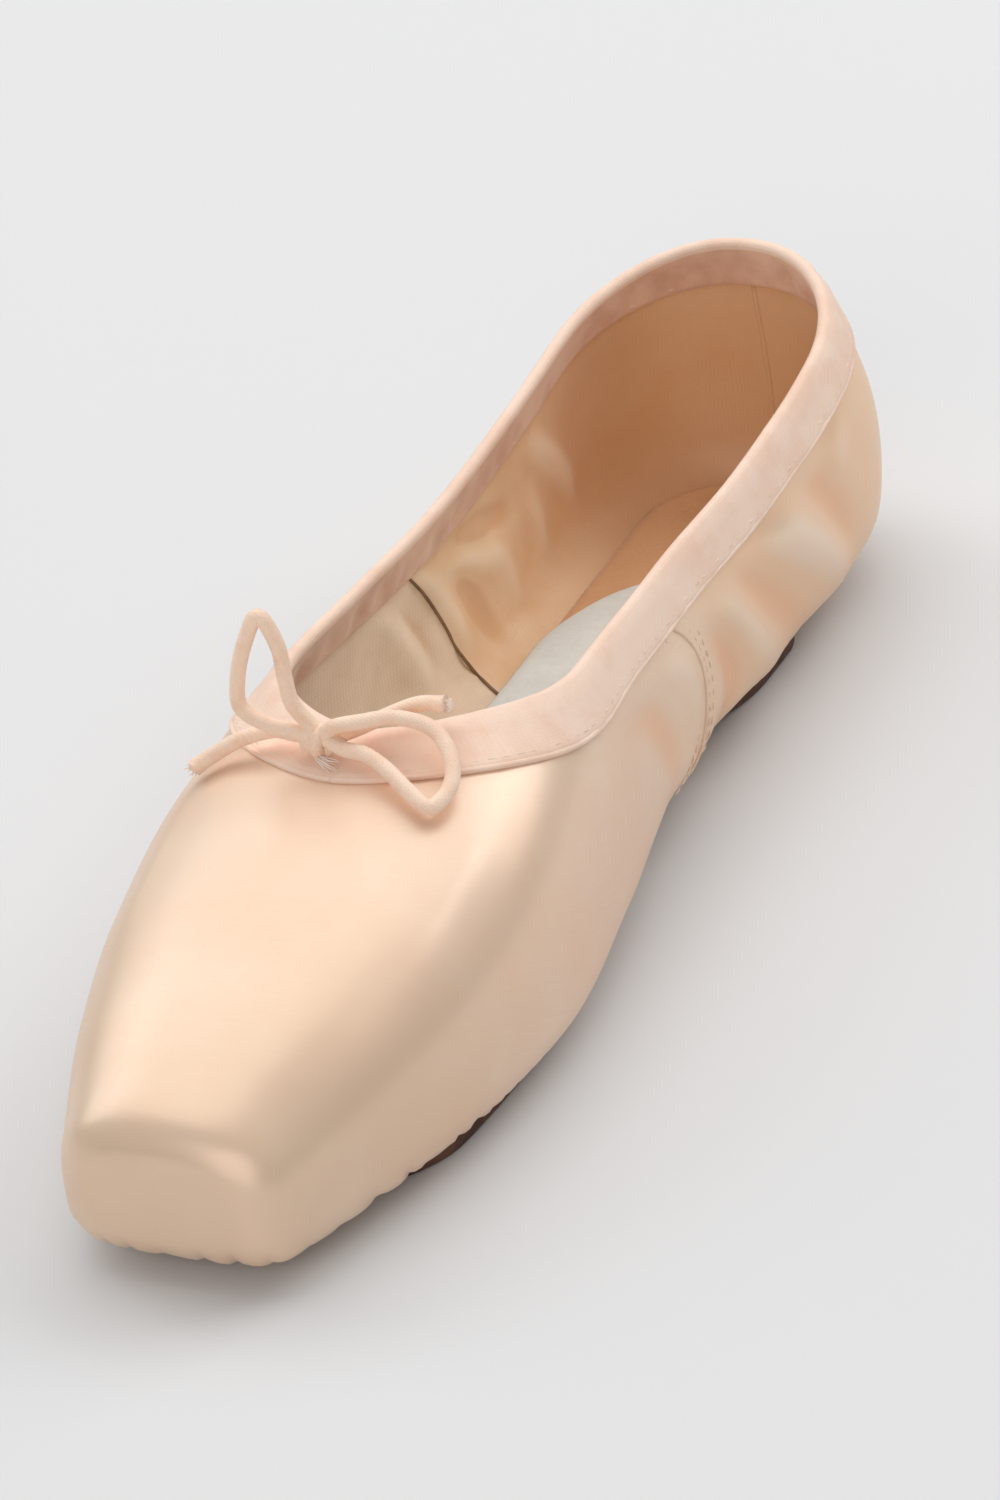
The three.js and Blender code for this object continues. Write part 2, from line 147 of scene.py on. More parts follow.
def resample(line: Array, count: int, measured: int | None = None) -> Array:
    """Spaces a line's rows evenly along its length.

    Args:
        line: the points, one row each, with what they carry in further columns.
        count: how many rows to make.
        measured: how many columns hold the points; all of them if it isn't given.

    Returns:
        The new rows.
    """
    run = run_along(line[:, :measured])
    places = np.linspace(0, run[-1], count)
    return np.stack([np.interp(places, run, line[:, k]) for k in range(line.shape[1])], axis=1)


def unit(vectors: Array) -> Array:
    """Scales vectors to length one.

    Args:
        vectors: vectors along the last axis.

    Returns:
        The unit vectors.
    """
    return vectors / np.maximum(np.linalg.norm(vectors, axis=-1, keepdims=True), 1e-12)


def cells(rows: int, columns: int) -> tuple[Array, Array]:
    """Numbers the cells of a grid, row by row.

    Args:
        rows: how many rows of cells.
        columns: how many columns of cells.

    Returns:
        Each cell's row and column.
    """
    i, j = np.meshgrid(np.arange(rows), np.arange(columns), indexing="ij")
    return i.ravel(), j.ravel()


def lattice(down: Array, across: Array) -> Array:
    """Crosses two runs of texture places.

    Args:
        down: a place for each row.
        across: a place for each column.

    Returns:
        Both places for each point of the grid.
    """
    return np.stack(np.meshgrid(down, across, indexing="ij"), axis=-1)


def put(name: str, data: bpy.types.ID) -> bpy.types.Object:
    """Puts a new object into the scene.

    Args:
        name: the object's name.
        data: its mesh, light or camera.

    Returns:
        The object.
    """
    thing = bpy.data.objects.new(name, data)
    bpy.context.scene.collection.objects.link(thing)
    return thing


def waver(place: Array, seed: int, pitch: float) -> Array:
    """A gentle uneven wave that never repeats in a shoe's length.

    Args:
        place: distances along a piece, in millimetres.
        seed: picks the wave.
        pitch: its usual length in millimetres.

    Returns:
        Heights from about -1 to 1.
    """
    rng = np.random.default_rng(seed)
    total = np.zeros_like(np.asarray(place, float))
    for _ in range(5):
        length = pitch * rng.uniform(0.6, 1.9)
        total += np.sin(2 * math.pi * (place / length + rng.uniform()))
    return total / 3.2


@dataclass(frozen=True)
class Table:
    """A short table whose columns are read as smooth curves over the first one."""

    columns: tuple[str, ...]
    rows: tuple[tuple[float, ...], ...]

    def curve(self, column: str) -> Callable[[Array], Array]:
        """Makes a smooth curve through one column, without overshoot.

        Args:
            column: the column's name.

        Returns:
            A function from places to values.
        """
        table = np.asarray(self.rows, float)
        xs = table[:, 0]
        ys = table[:, self.columns.index(column)]
        rise = np.diff(ys) / np.diff(xs)
        before = np.r_[rise[0], rise]
        after = np.r_[rise, rise[-1]]
        agree = before * after > 0
        slope = np.where(agree, 2 * before * after / np.where(agree, before + after, 1), 0)
        fine = np.linspace(xs[0], xs[-1], 1600)
        i = np.clip(np.searchsorted(xs, fine) - 1, 0, len(xs) - 2)
        span = xs[i + 1] - xs[i]
        t = (fine - xs[i]) / span
        u = 1 - t
        start = ys[i] * (1 + 2 * t) + span * slope[i] * t
        finish = ys[i + 1] * (1 + 2 * u) - span * slope[i + 1] * u
        values = start * u * u + finish * t * t
        return lambda at: np.interp(at, fine, values)


@dataclass(frozen=True)
class Last:
    """The form that the shoe is made on, in millimetres, measured from the toe platform."""

    length: float = 238.0
    platform_edge: float = 5.5
    heel_round: float = 30.0
    heel_power: float = 2.2
    vamp_centre: float = 100.0
    heel_centre: float = 186.0
    throat_centre: float = 108.0
    throat_depth: float = 30.0
    throat_across_power: float = 1.7
    throat_along_power: float = 2.2
    box_wall: float = 2.8
    quarter_wall: float = 1.8
    box_end: float = 62.0
    quarter_start: float = 104.0
    middle: float = 119.55
    margin: float = 7.0
    sole_front: float = 24.0
    sole_rear: float = 204.0
    sole_front_round: float = 20.0
    sole_rear_round: float = 15.0
    sections: Table = Table(
        ("along", "half", "top", "bottom", "widest", "round_top", "round_bottom"),
        (
            (0, 17.6, 26.5, 3.2, 13.5, 2.5, 4.2),
            (12, 22.4, 31.0, 2.8, 13.5, 2.5, 4.4),
            (28, 28.2, 36.2, 2.6, 14.5, 2.5, 4.6),
            (50, 33.6, 42.0, 2.6, 15.0, 2.6, 4.8),
            (70, 35.4, 46.8, 2.6, 15.5, 2.7, 4.8),
            (100, 32.0, 53.0, 4.0, 17.0, 2.7, 4.6),
            (125, 28.5, 55.5, 6.0, 19.0, 2.6, 4.0),
            (155, 27.0, 56.5, 5.0, 21.0, 2.4, 3.8),
            (185, 27.8, 57.5, 2.8, 22.0, 2.4, 3.8),
            (211, 28.5, 59.5, 2.8, 23.0, 2.4, 3.8),
            (238, 28.0, 62.0, 4.0, 23.0, 2.4, 3.6),
        ),
    )
    heel_back: Table = Table(
        ("height", "lean"),
        ((0, 10), (6, 4.5), (14, 1), (24, 0), (40, 1.2), (54, 3.6), (90, 12)),
    )
    collar: Table = Table(
        ("along", "height"),
        ((100, 45.0), (115, 44.2), (140, 43.0), (165, 42.4), (190, 43.8), (215, 47.4), (238, 51.6)),
    )
    sole: Table = Table(
        ("along", "half", "under"),
        (
            (24, 23.0, 1.0),
            (34, 25.0, 0),
            (48, 27.4, 0),
            (65, 28.5, 0),
            (86, 26.4, 0),
            (105, 19.5, 1.5),
            (125, 15.5, 3.2),
            (150, 15.5, 2.6),
            (180, 20.2, 0),
            (204, 20.5, 0),
        ),
    )

    @cached_property
    def curves(self) -> dict[str, Callable[[Array], Array]]:
        """Reads the tables' columns as curves.

        Returns:
            The curves by name.
        """
        found = {name: self.sections.curve(name) for name in self.sections.columns[1:]}
        found["lean"] = self.heel_back.curve("lean")
        found["collar"] = self.collar.curve("height")
        found["sole_half"] = self.sole.curve("half")
        found["sole_under"] = self.sole.curve("under")
        return found

    def half_width(self, along: Array, z: Array) -> Array:
        """Half width of the last at places along it and heights, negative outside.

        Args:
            along: distances from the toe.
            z: heights above the floor.

        Returns:
            The half widths.
        """
        curves = self.curves
        nose = self.platform_edge - np.clip(along, 0, self.platform_edge)
        inset = self.platform_edge - np.sqrt(self.platform_edge**2 - nose**2)
        widest = curves["widest"](along)
        above = z > widest
        reach = np.where(above, curves["top"](along) - inset - widest,
                         widest - curves["bottom"](along) - inset)
        power = np.where(above, curves["round_top"](along), curves["round_bottom"](along))
        share = np.abs(z - widest) / reach
        across = np.maximum(1 - np.minimum(share, 1) ** power, 0) ** (1 / power)
        back = self.length - curves["lean"](z)
        behind = np.clip((along - back + self.heel_round) / self.heel_round, 0, 1)
        heel = np.maximum(1 - behind**self.heel_power, 0) ** (1 / self.heel_power)
        width = (curves["half"](along) - inset) * across * heel
        return np.where((along < 0) | (share >= 1) | (behind >= 1), -1.0, width)

    def wall(self, along: Array) -> Array:
        """Thickness of the upper's wall.

        Args:
            along: distances from the toe.

        Returns:
            The thicknesses, larger in the toe box.
        """
        share = smoothstep(along, self.box_end, self.quarter_start)
        return self.box_wall + (self.quarter_wall - self.box_wall) * share

    def edge_wall(self, along: Array, below: Array) -> Array:
        """Thickness of the wall where it thins towards the collar's edge.

        Args:
            along: distances from the toe.
            below: distances below the collar's edge.

        Returns:
            The thicknesses.
        """
        return self.wall(along) * (0.5 + 0.5 * smoothstep(below, 0.0, 12.0))

    def sole_half(self, along: Array) -> Array:
        """Half width of the sole with its ends rounded.

        Args:
            along: distances from the toe.

        Returns:
            The half widths, 0 beyond the ends.
        """
        front = 1 - np.clip((along - self.sole_front) / self.sole_front_round, 0, 1)
        rear = 1 - np.clip((self.sole_rear - along) / self.sole_rear_round, 0, 1)
        ends = np.sqrt(1 - front**2) * np.sqrt(1 - rear**2)
        return self.curves["sole_half"](along) * ends

    @cached_property
    def throat_half(self) -> float:
        """Half width of the foot opening behind the throat."""
        height = self.curves["collar"](self.throat_centre)
        return float(self.half_width(np.array(self.throat_centre), height))

    def in_opening(self, x: Array, along: Array, z: Array) -> Array:
        """Says which points of the last lie inside the foot opening.

        Args:
            x: distances from the middle plane.
            along: distances from the toe.
            z: heights above the floor.

        Returns:
            True for each point over the collar's line.
        """
        side = (np.abs(x) / self.throat_half) ** self.throat_across_power
        ahead = np.maximum(self.throat_centre - along, 0) / self.throat_depth
        front = ahead**self.throat_along_power
        return np.where(along >= self.throat_centre, z > self.curves["collar"](along), side + front < 1)

    def face(self, x: Array, along: Array, up: float, limit: float) -> Array:
        """Height of the last's upper or lower face.

        Args:
            x: distances from the middle plane.
            along: distances from the toe.
            up: 1 for the upper face, -1 for the lower one.
            limit: the largest distance to look from the widest level.

        Returns:
            The heights above the floor.
        """
        middle = self.curves["widest"](along)
        away = furthest(lambda t: np.abs(x) < self.half_width(along, middle + up * t), limit, np.shape(x))
        return middle + up * away

    def lower_face(self, x: Array, along: Array) -> Array:
        """Height of the last's lower face, read as face() reads it."""
        return self.face(x, along, -1.0, 30.0)

    def upper_face(self, x: Array, along: Array) -> Array:
        """Height of the last's upper face, read as face() reads it."""
        return self.face(x, along, 1.0, 60.0)

    def on_wall(self, line: Array, side: Side) -> tuple[Array, Array]:
        """Lays a line of places on a side wall.

        Args:
            line: distances from the toe and heights.
            side: the side to lay it on.

        Returns:
            The points, and the wall's outward directions there.
        """
        along, z = line[:, 0], line[:, 1]
        half = self.half_width(along, z)
        by_along = (self.half_width(along + 0.4, z) - self.half_width(along - 0.4, z)) / 0.8
        by_height = (self.half_width(along, z + 0.4) - self.half_width(along, z - 0.4)) / 0.8
        normal = unit(np.stack([np.full(len(half), side.value), -by_along, -by_height], axis=1))
        return np.stack([side.value * half, along, z], axis=1), normal

    def inner_floor(self, x: Array, along: Array) -> Array:
        """Height of the wall's inner face over the floor.

        Args:
            x: distances from the middle plane.
            along: distances from the toe.

        Returns:
            The heights, a wall's thickness away from every point of the lower face.
        """
        wall = self.wall(along)
        best = np.zeros(np.shape(x))
        steps = (-1, -0.7, -0.35, 0, 0.35, 0.7, 1)
        for i in steps:
            for j in steps:
                away = i * i + j * j
                if away <= 1:
                    low = self.lower_face(x + i * wall, along + j * wall)
                    best = np.maximum(best, low + wall * math.sqrt(1 - away))
        return best

    def cuts(self, x: Array, along: Array, dx: Array, da: Array, margin: float, steps: int) -> Array:
        """Cuts the last upright from base points outwards.

        Args:
            x: the base points' distances from the middle plane.
            along: their distances from the toe.
            dx: the cuts' directions across the shoe.
            da: the cuts' directions along the shoe.
            margin: how far inside the sole's edge a cut ends.
            steps: how many points each cut has after the first.

        Returns:
            The cuts' points from the collar round to the turned-under edge.
        """
        height = 17.0
        count = len(along)

        def inside(r: Array, z: Array) -> Array:
            """Says which points of the cuts are inside the last.

            Args:
                r: distances from the bases.
                z: heights above the floor.

            Returns:
                True for each point inside.
            """
            shape = (count,) + (1,) * (r.ndim - 1)
            place = along.reshape(shape) + da.reshape(shape) * r
            return np.abs(x.reshape(shape) + dx.reshape(shape) * r) < self.half_width(place, z)

        reach = furthest(lambda r: inside(r, np.full(count, height)), 150.0, (count,))
        pivot = np.maximum(reach - 26, 0.35 * reach)
        sole = furthest(lambda r: (np.abs(x + dx * r) < self.sole_half(along + da * r)) & (r < reach),
                        150.0, (count,))
        edge = sole - margin

        def ray(angle: Array) -> tuple[Array, Array]:
            """Meets the last's outer line at angles from the pivot.

            Args:
                angle: the angles above the level of the pivot.

            Returns:
                The distances from the bases, and the heights.
            """
            shape = (count,) + (1,) * (angle.ndim - 1)
            start = pivot.reshape(shape)
            cos, sin = np.cos(angle), np.sin(angle)
            far = furthest(lambda t: inside(start + t * cos, height + t * sin), 130.0, angle.shape)
            return start + far * cos, height + far * sin

        def closed(angle: Array) -> Array:
            """Says which angles still lie below the collar.

            Args:
                angle: the angles above the level of the pivot.

            Returns:
                True for each one below it.
            """
            r, z = ray(angle)
            return ~self.in_opening(x + dx * r, along + da * r, z)

        first = furthest(closed, math.radians(168), (count,))
        last = furthest(lambda angle: ray(-angle)[0] > edge, math.radians(140), (count,))
        share = np.linspace(0, 1, steps + 1)[None, :]
        r, z = ray(first[:, None] * (1 - share) - last[:, None] * share)
        return np.stack([x[:, None] + dx[:, None] * r, along[:, None] + da[:, None] * r, z], axis=-1)


class Skin:
    """The last's outer face as cuts that run from the collar down and under, all round the shoe."""

    def __init__(self, points: Array, closed: bool) -> None:
        """Keeps the cuts and measures them.

        Args:
            points: the cuts' points, one row for each cut.
            closed: whether the last cut meets the first one again.
        """
        self.points = points
        self.closed = closed
        steps = np.diff(points, axis=1)
        length = np.linalg.norm(steps, axis=2)
        self.distance = np.pad(np.cumsum(length, axis=1), ((0, 0), (1, 0)))
        heading = unit(steps)
        bend = np.arccos(np.clip((heading[:, 1:] * heading[:, :-1]).sum(2), -1, 1))
        self.turn = np.pad(np.cumsum(bend, axis=1), ((0, 0), (1, 1)), mode="edge")
        self.turn[:, 0] = 0
        self.length = self.distance[:, -1]

    @classmethod
    def round_the_shoe(cls, last: Last, half_count: int, steps: int) -> "Skin":
        """Makes cuts all round the shoe, closer together where its plan turns.

        Args:
            last: the last to cut.
            half_count: how many cuts one side has.
            steps: how many points each cut has after the first.

        Returns:
            The skin, mirrored at the middle plane.
        """
        shares = np.linspace(0, 3, 1201)
        along, dx, da = cls.plan(last, shares)
        level = np.full(len(shares), 15.0)
        reach = furthest(lambda r: np.abs(dx * r) < last.half_width(along + da * r, level), 150.0,
                         shares.shape)
        rim = np.stack([dx * reach, along + da * reach], axis=1)
        step = np.diff(rim, axis=0)
        size = np.linalg.norm(step, axis=1)
        cross = step[:-1, 0] * step[1:, 1] - step[:-1, 1] * step[1:, 0]
        turn = np.r_[np.abs(cross) / (size[:-1] * size[1:]), 0]
        weight = np.r_[0, np.cumsum(size + 16 * turn)]
        chosen = np.interp(np.linspace(0, weight[-1], half_count + 1), weight, shares)
        along, dx, da = cls.plan(last, chosen)
        half = last.cuts(np.zeros(len(chosen)), along, dx, da, last.margin, steps)
        mirrored = half[1:-1][::-1] * np.array([-1, 1, 1])
        return cls(np.concatenate([half, mirrored]), closed=True)

    @staticmethod
    def plan(last: Last, shares: Array) -> tuple[Array, Array, Array]:
        """Gives the cuts' bases and directions in plan, from the toe round one side to the heel.

        Args:
            last: the last to cut.
            shares: 0 to 1 round the toe, 1 to 2 down the side, 2 to 3 round the heel.

        Returns:
            The bases along the shoe, and the directions across and along it.
        """
        quarter = math.pi / 2
        side = np.clip(shares - 1, 0, 1)
        along = last.vamp_centre + (last.heel_centre - last.vamp_centre) * side
        toe = np.clip(shares, 0, 1) * quarter
        heel = np.clip(shares - 2, 0, 1) * quarter
        dx = np.where(shares < 1, np.sin(toe), np.cos(heel))
        da = np.where(shares < 1, -np.cos(toe), np.sin(heel))
        return along, dx, da

    def at(self, distance: Array) -> Array:
        """Reads one point of each cut for each distance.

        Args:
            distance: distances from the collar, one row for each cut; below 0 runs on upwards.

        Returns:
            The points.
        """
        out = np.empty(distance.shape + (3,))
        for i, line in enumerate(self.points):
            for k in range(3):
                out[i, :, k] = np.interp(distance[i], self.distance[i], line[:, k])
        rise = unit(self.points[:, 0] - self.points[:, 4])
        over = np.maximum(-distance, 0)
        return out + over[..., None] * rise[:, None, :]

    def spread(self, start: Array, end: Array, count: int, bend: float = 0.35) -> Array:
        """Spaces distances down each cut, closer together where it bends.

        Args:
            start: the first distance of each cut.
            end: the last distance of each cut.
            count: how many distances.
            bend: how much a bend draws the distances together.

        Returns:
            The distances, one row for each cut.
        """
        rows = []
        for i, run in enumerate(self.distance):
            weight = run / self.length[i] + bend * self.turn[i]
            low, high = np.interp([start[i], end[i]], run, weight)
            rows.append(np.interp(np.linspace(low, high, count), weight, run))
        return np.array(rows)

    @staticmethod
    def cloth_places(points: Array, distance: Array, row: int) -> Array:
        """Gives texture places on a cloth that goes all round the shoe.

        Args:
            points: the cloth's points, one row for each cut.
            distance: their distances from the collar.
            row: the column of points that is measured round the shoe.

        Returns:
            The places in millimetres, with the first cut again at the end.
        """
        line = points[:, row]
        around = run_along(np.vstack([line, line[:1]]))
        down = np.vstack([distance, distance[:1]])
        return np.stack([np.repeat(around[:, None], distance.shape[1], axis=1), down], axis=-1)

    def normals(self, grid: Array) -> Array:
        """Outward normals of a grid of points over the skin.

        Args:
            grid: points, one row for each cut.

        Returns:
            The unit normals.
        """
        if self.closed:
            around = np.roll(grid, -1, axis=0) - np.roll(grid, 1, axis=0)
        else:
            around = np.gradient(grid, axis=0)
        down = np.gradient(grid, axis=1)
        return unit(np.cross(down, around))


@dataclass(frozen=True)
class Fold:
    """A soft ridge or trough, placed by hand on the upper."""

    face: Face
    line: tuple[tuple[float, float], ...]
    width: float
    height: float

    def route(self, last: Last) -> Array:
        """Lays the fold's line on the last.

        Args:
            last: the last that carries it.

        Returns:
            The line's points.
        """
        line = smooth_line(self.line, 26)
        if self.face is Face.TOP:
            return np.stack([line[:, 0], line[:, 1], last.upper_face(line[:, 0], line[:, 1])], axis=1)
        sign = 1.0 if self.face is Face.NEAR_WALL else -1.0
        across = np.maximum(last.half_width(line[:, 0], line[:, 1]), 0)
        return np.stack([sign * across, line[:, 0], line[:, 1]], axis=1)

    def relief(self, points: Array, last: Last) -> Array:
        """Height that the fold gives to points of the upper.

        Args:
            points: the points.
            last: the last that carries the fold.

        Returns:
            The heights, outwards.
        """
        route = self.route(last)
        flat = points.reshape(-1, 3)
        near = np.full(len(flat), 1e9)
        place = np.zeros(len(flat))
        for k, spot in enumerate(route):
            away = ((flat - spot) ** 2).sum(1)
            closer = away < near
            near = np.where(closer, away, near)
            place = np.where(closer, k / (len(route) - 1), place)
        fade = np.clip(np.sin(math.pi * (0.06 + 0.88 * place)), 0, 1) ** 0.7
        return (self.height * fade * np.exp(-near / self.width**2)).reshape(points.shape[:-1])


class MeshMaker:
    """Turns arrays of points in millimetres into Blender meshes in the shoe's frame."""

    def __init__(self, middle: float) -> None:
        """Keeps the distance from the toe to the frame's origin.

        Args:
            middle: that distance in millimetres.
        """
        self.middle = middle

    def place(self, points: Array) -> Array:
        """Moves points from the last's measures to the frame.

        Args:
            points: points in millimetres, measured from the toe.

        Returns:
            The points in metres.
        """
        return (points - np.array([0.0, self.middle, 0.0])) * MM

    @staticmethod
    def note_creases(thing: bpy.types.Object, heights: Array) -> None:
        """Keeps the heights of a cloth's folds on its mesh, which the finishes use for painted highlights on
        ridges and painted shade in hollows.

        Args:
            thing: the cloth.
            heights: a height in millimetres for each of its points.
        """
        layer = thing.data.attributes.new("crease", "FLOAT", "POINT")
        layer.data.foreach_set("value", heights.astype(np.float32).ravel())

    @staticmethod
    def finish_faces(thing: bpy.types.Object, finishes: Sequence[bpy.types.Material], second: Array) -> None:
        """Gives a piece two finishes, face by face.

        Args:
            thing: the piece.
            finishes: the two finishes.
            second: True for each face that has the second one.
        """
        for material in finishes:
            thing.data.materials.append(material)
        thing.data.polygons.foreach_set("material_index", second.astype(np.int32))

    def mesh(self, name: str, points: Array, faces: Array, uv: Array | None = None) -> bpy.types.Object:
        """Makes a smooth mesh object.

        Args:
            name: the object's name.
            points: its points, measured from the toe.
            faces: four corner numbers for each face, the last repeated for a triangle.
            uv: texture places in millimetres, for each corner of each face.

        Returns:
            The object, linked to the scene.
        """
        data = bpy.data.meshes.new(name)
        polygons = [f[:3].tolist() if f[3] == f[2] else f.tolist() for f in faces]
        data.from_pydata(self.place(points).tolist(), [], polygons)
        if uv is not None:
            layer = data.uv_layers.new(name="UVMap")
            kept = [uv[i][:3] if faces[i][3] == faces[i][2] else uv[i] for i in range(len(faces))]
            layer.data.foreach_set("uv", np.concatenate(kept).astype(np.float32).ravel() / 100)
        data.polygons.foreach_set("use_smooth", np.ones(len(data.polygons), dtype=bool))
        data.update()
        return put(name, data)

    def grid(self, name: str, grid: Array, uv: Array, round_closed: bool = False,
             down_closed: bool = False) -> bpy.types.Object:
        """Makes a mesh from a grid of points.

        Args:
            name: the object's name.
            grid: points in rows.
            uv: texture places in millimetres, with one row and column more where the grid closes.
            round_closed: whether the last row meets the first.
            down_closed: whether each row closes on itself.

        Returns:
            The object.
        """
        n, m = grid.shape[:2]
        i, j = cells(n if round_closed else n - 1, m if down_closed else m - 1)
        corners = [(i, j), (i, j + 1), (i + 1, j + 1), (i + 1, j)]
        faces = np.stack([(a % n) * m + b % m for a, b in corners], axis=1)
        places = np.stack([uv[a, b] for a, b in corners], axis=1)
        return self.mesh(name, grid.reshape(-1, 3), faces, places)

    def tube(self, name: str, path: Array, radius: Array, sides: int = 12,
             flatten: float = 1.0) -> bpy.types.Object:
        """Makes a closed tube along a path.

        Args:
            name: the object's name.
            path: the points that it follows.
            radius: its radius at each point.
            sides: how many sides its section has.
            flatten: height of its section over its width.

        Returns:
            The object.
        """
        heading = unit(np.gradient(path, axis=0))
        across = np.empty_like(path)
        seed = np.array([0.0, 0.0, 1.0]) if abs(heading[0, 2]) < 0.9 else np.array([0.0, 1.0, 0.0])
        across[0] = unit(np.cross(seed, heading[0]))
        for k in range(1, len(path)):
            across[k] = unit(across[k - 1] - heading[k] * (across[k - 1] @ heading[k]))
        upward = np.cross(heading, across)
        angle = np.linspace(0, 2 * math.pi, sides, endpoint=False)
        ring = (np.cos(angle)[None, :, None] * across[:, None, :]
                + flatten * np.sin(angle)[None, :, None] * upward[:, None, :])
        points = path[:, None, :] + ring * np.asarray(radius)[:, None, None]
        run = run_along(path)
        around = np.linspace(0, 2 * math.pi * float(np.mean(radius)), sides + 1)
        n, m = points.shape[:2]
        i, j = cells(n - 1, m)
        corners = [(i, j), (i + 1, j), (i + 1, j + 1), (i, j + 1)]
        faces = [np.stack([a * m + b % m for a, b in corners], axis=1)]
        places = [np.stack([np.stack([around[b], run[a]], axis=-1) for a, b in corners], axis=1)]
        for row, centre, turned in ((0, n * m, False), (n - 1, n * m + 1, True)):
            k = np.arange(m)
            a, b = row * m + k, row * m + (k + 1) % m
            hub = np.full(m, centre)
            faces.append(np.stack([hub, a, b, b] if turned else [hub, b, a, a], axis=1))
            places.append(np.full((m, 4, 2), run[row]))
        everything = np.vstack([points.reshape(-1, 3), path[0], path[-1]])
        return self.mesh(name, everything, np.concatenate(faces), np.concatenate(places))

    def threads(self, name: str, middles: Array, along: Array, up: Array, length: float,
                radius: float) -> bpy.types.Object:
        """Makes a row of stitches as small rounded threads.

        Args:
            name: the object's name.
            middles: the stitches' middles.
            along: the directions that they lie in.
            up: the directions out of the cloth.
            length: a stitch's length.
            radius: its thread's radius.

        Returns:
            One object that holds all the stitches.
        """
        stations = np.array([-1.0, -0.86, -0.5, 0.0, 0.5, 0.86, 1.0])
        thick = np.array([0.25, 0.75, 1.0, 1.08, 1.0, 0.75, 0.25]) * radius
        sink = np.array([-0.9, -0.45, -0.08, 0.0, -0.08, -0.45, -0.9]) * radius
        sides = 6
        angle = np.linspace(0, 2 * math.pi, sides, endpoint=False)
        across = unit(np.cross(along, up))
        spine = (middles[:, None, :] + along[:, None, :] * stations[None, :, None] * length / 2
                 + up[:, None, :] * sink[None, :, None])
        ring = (np.cos(angle)[None, :, None] * across[:, None, :]
                + np.sin(angle)[None, :, None] * up[:, None, :])
        points = spine[:, :, None, :] + ring[:, None, :, :] * thick[None, :, None, None]
        count, n = points.shape[:2]
        i, j = cells(n - 1, sides)
        quad = np.stack([i * sides + j, i * sides + (j + 1) % sides,
                         (i + 1) * sides + (j + 1) % sides, (i + 1) * sides + j], axis=1)
        faces = (quad[None] + (np.arange(count) * n * sides)[:, None, None]).reshape(-1, 4)
        return self.mesh(name, points.reshape(-1, 3), faces)


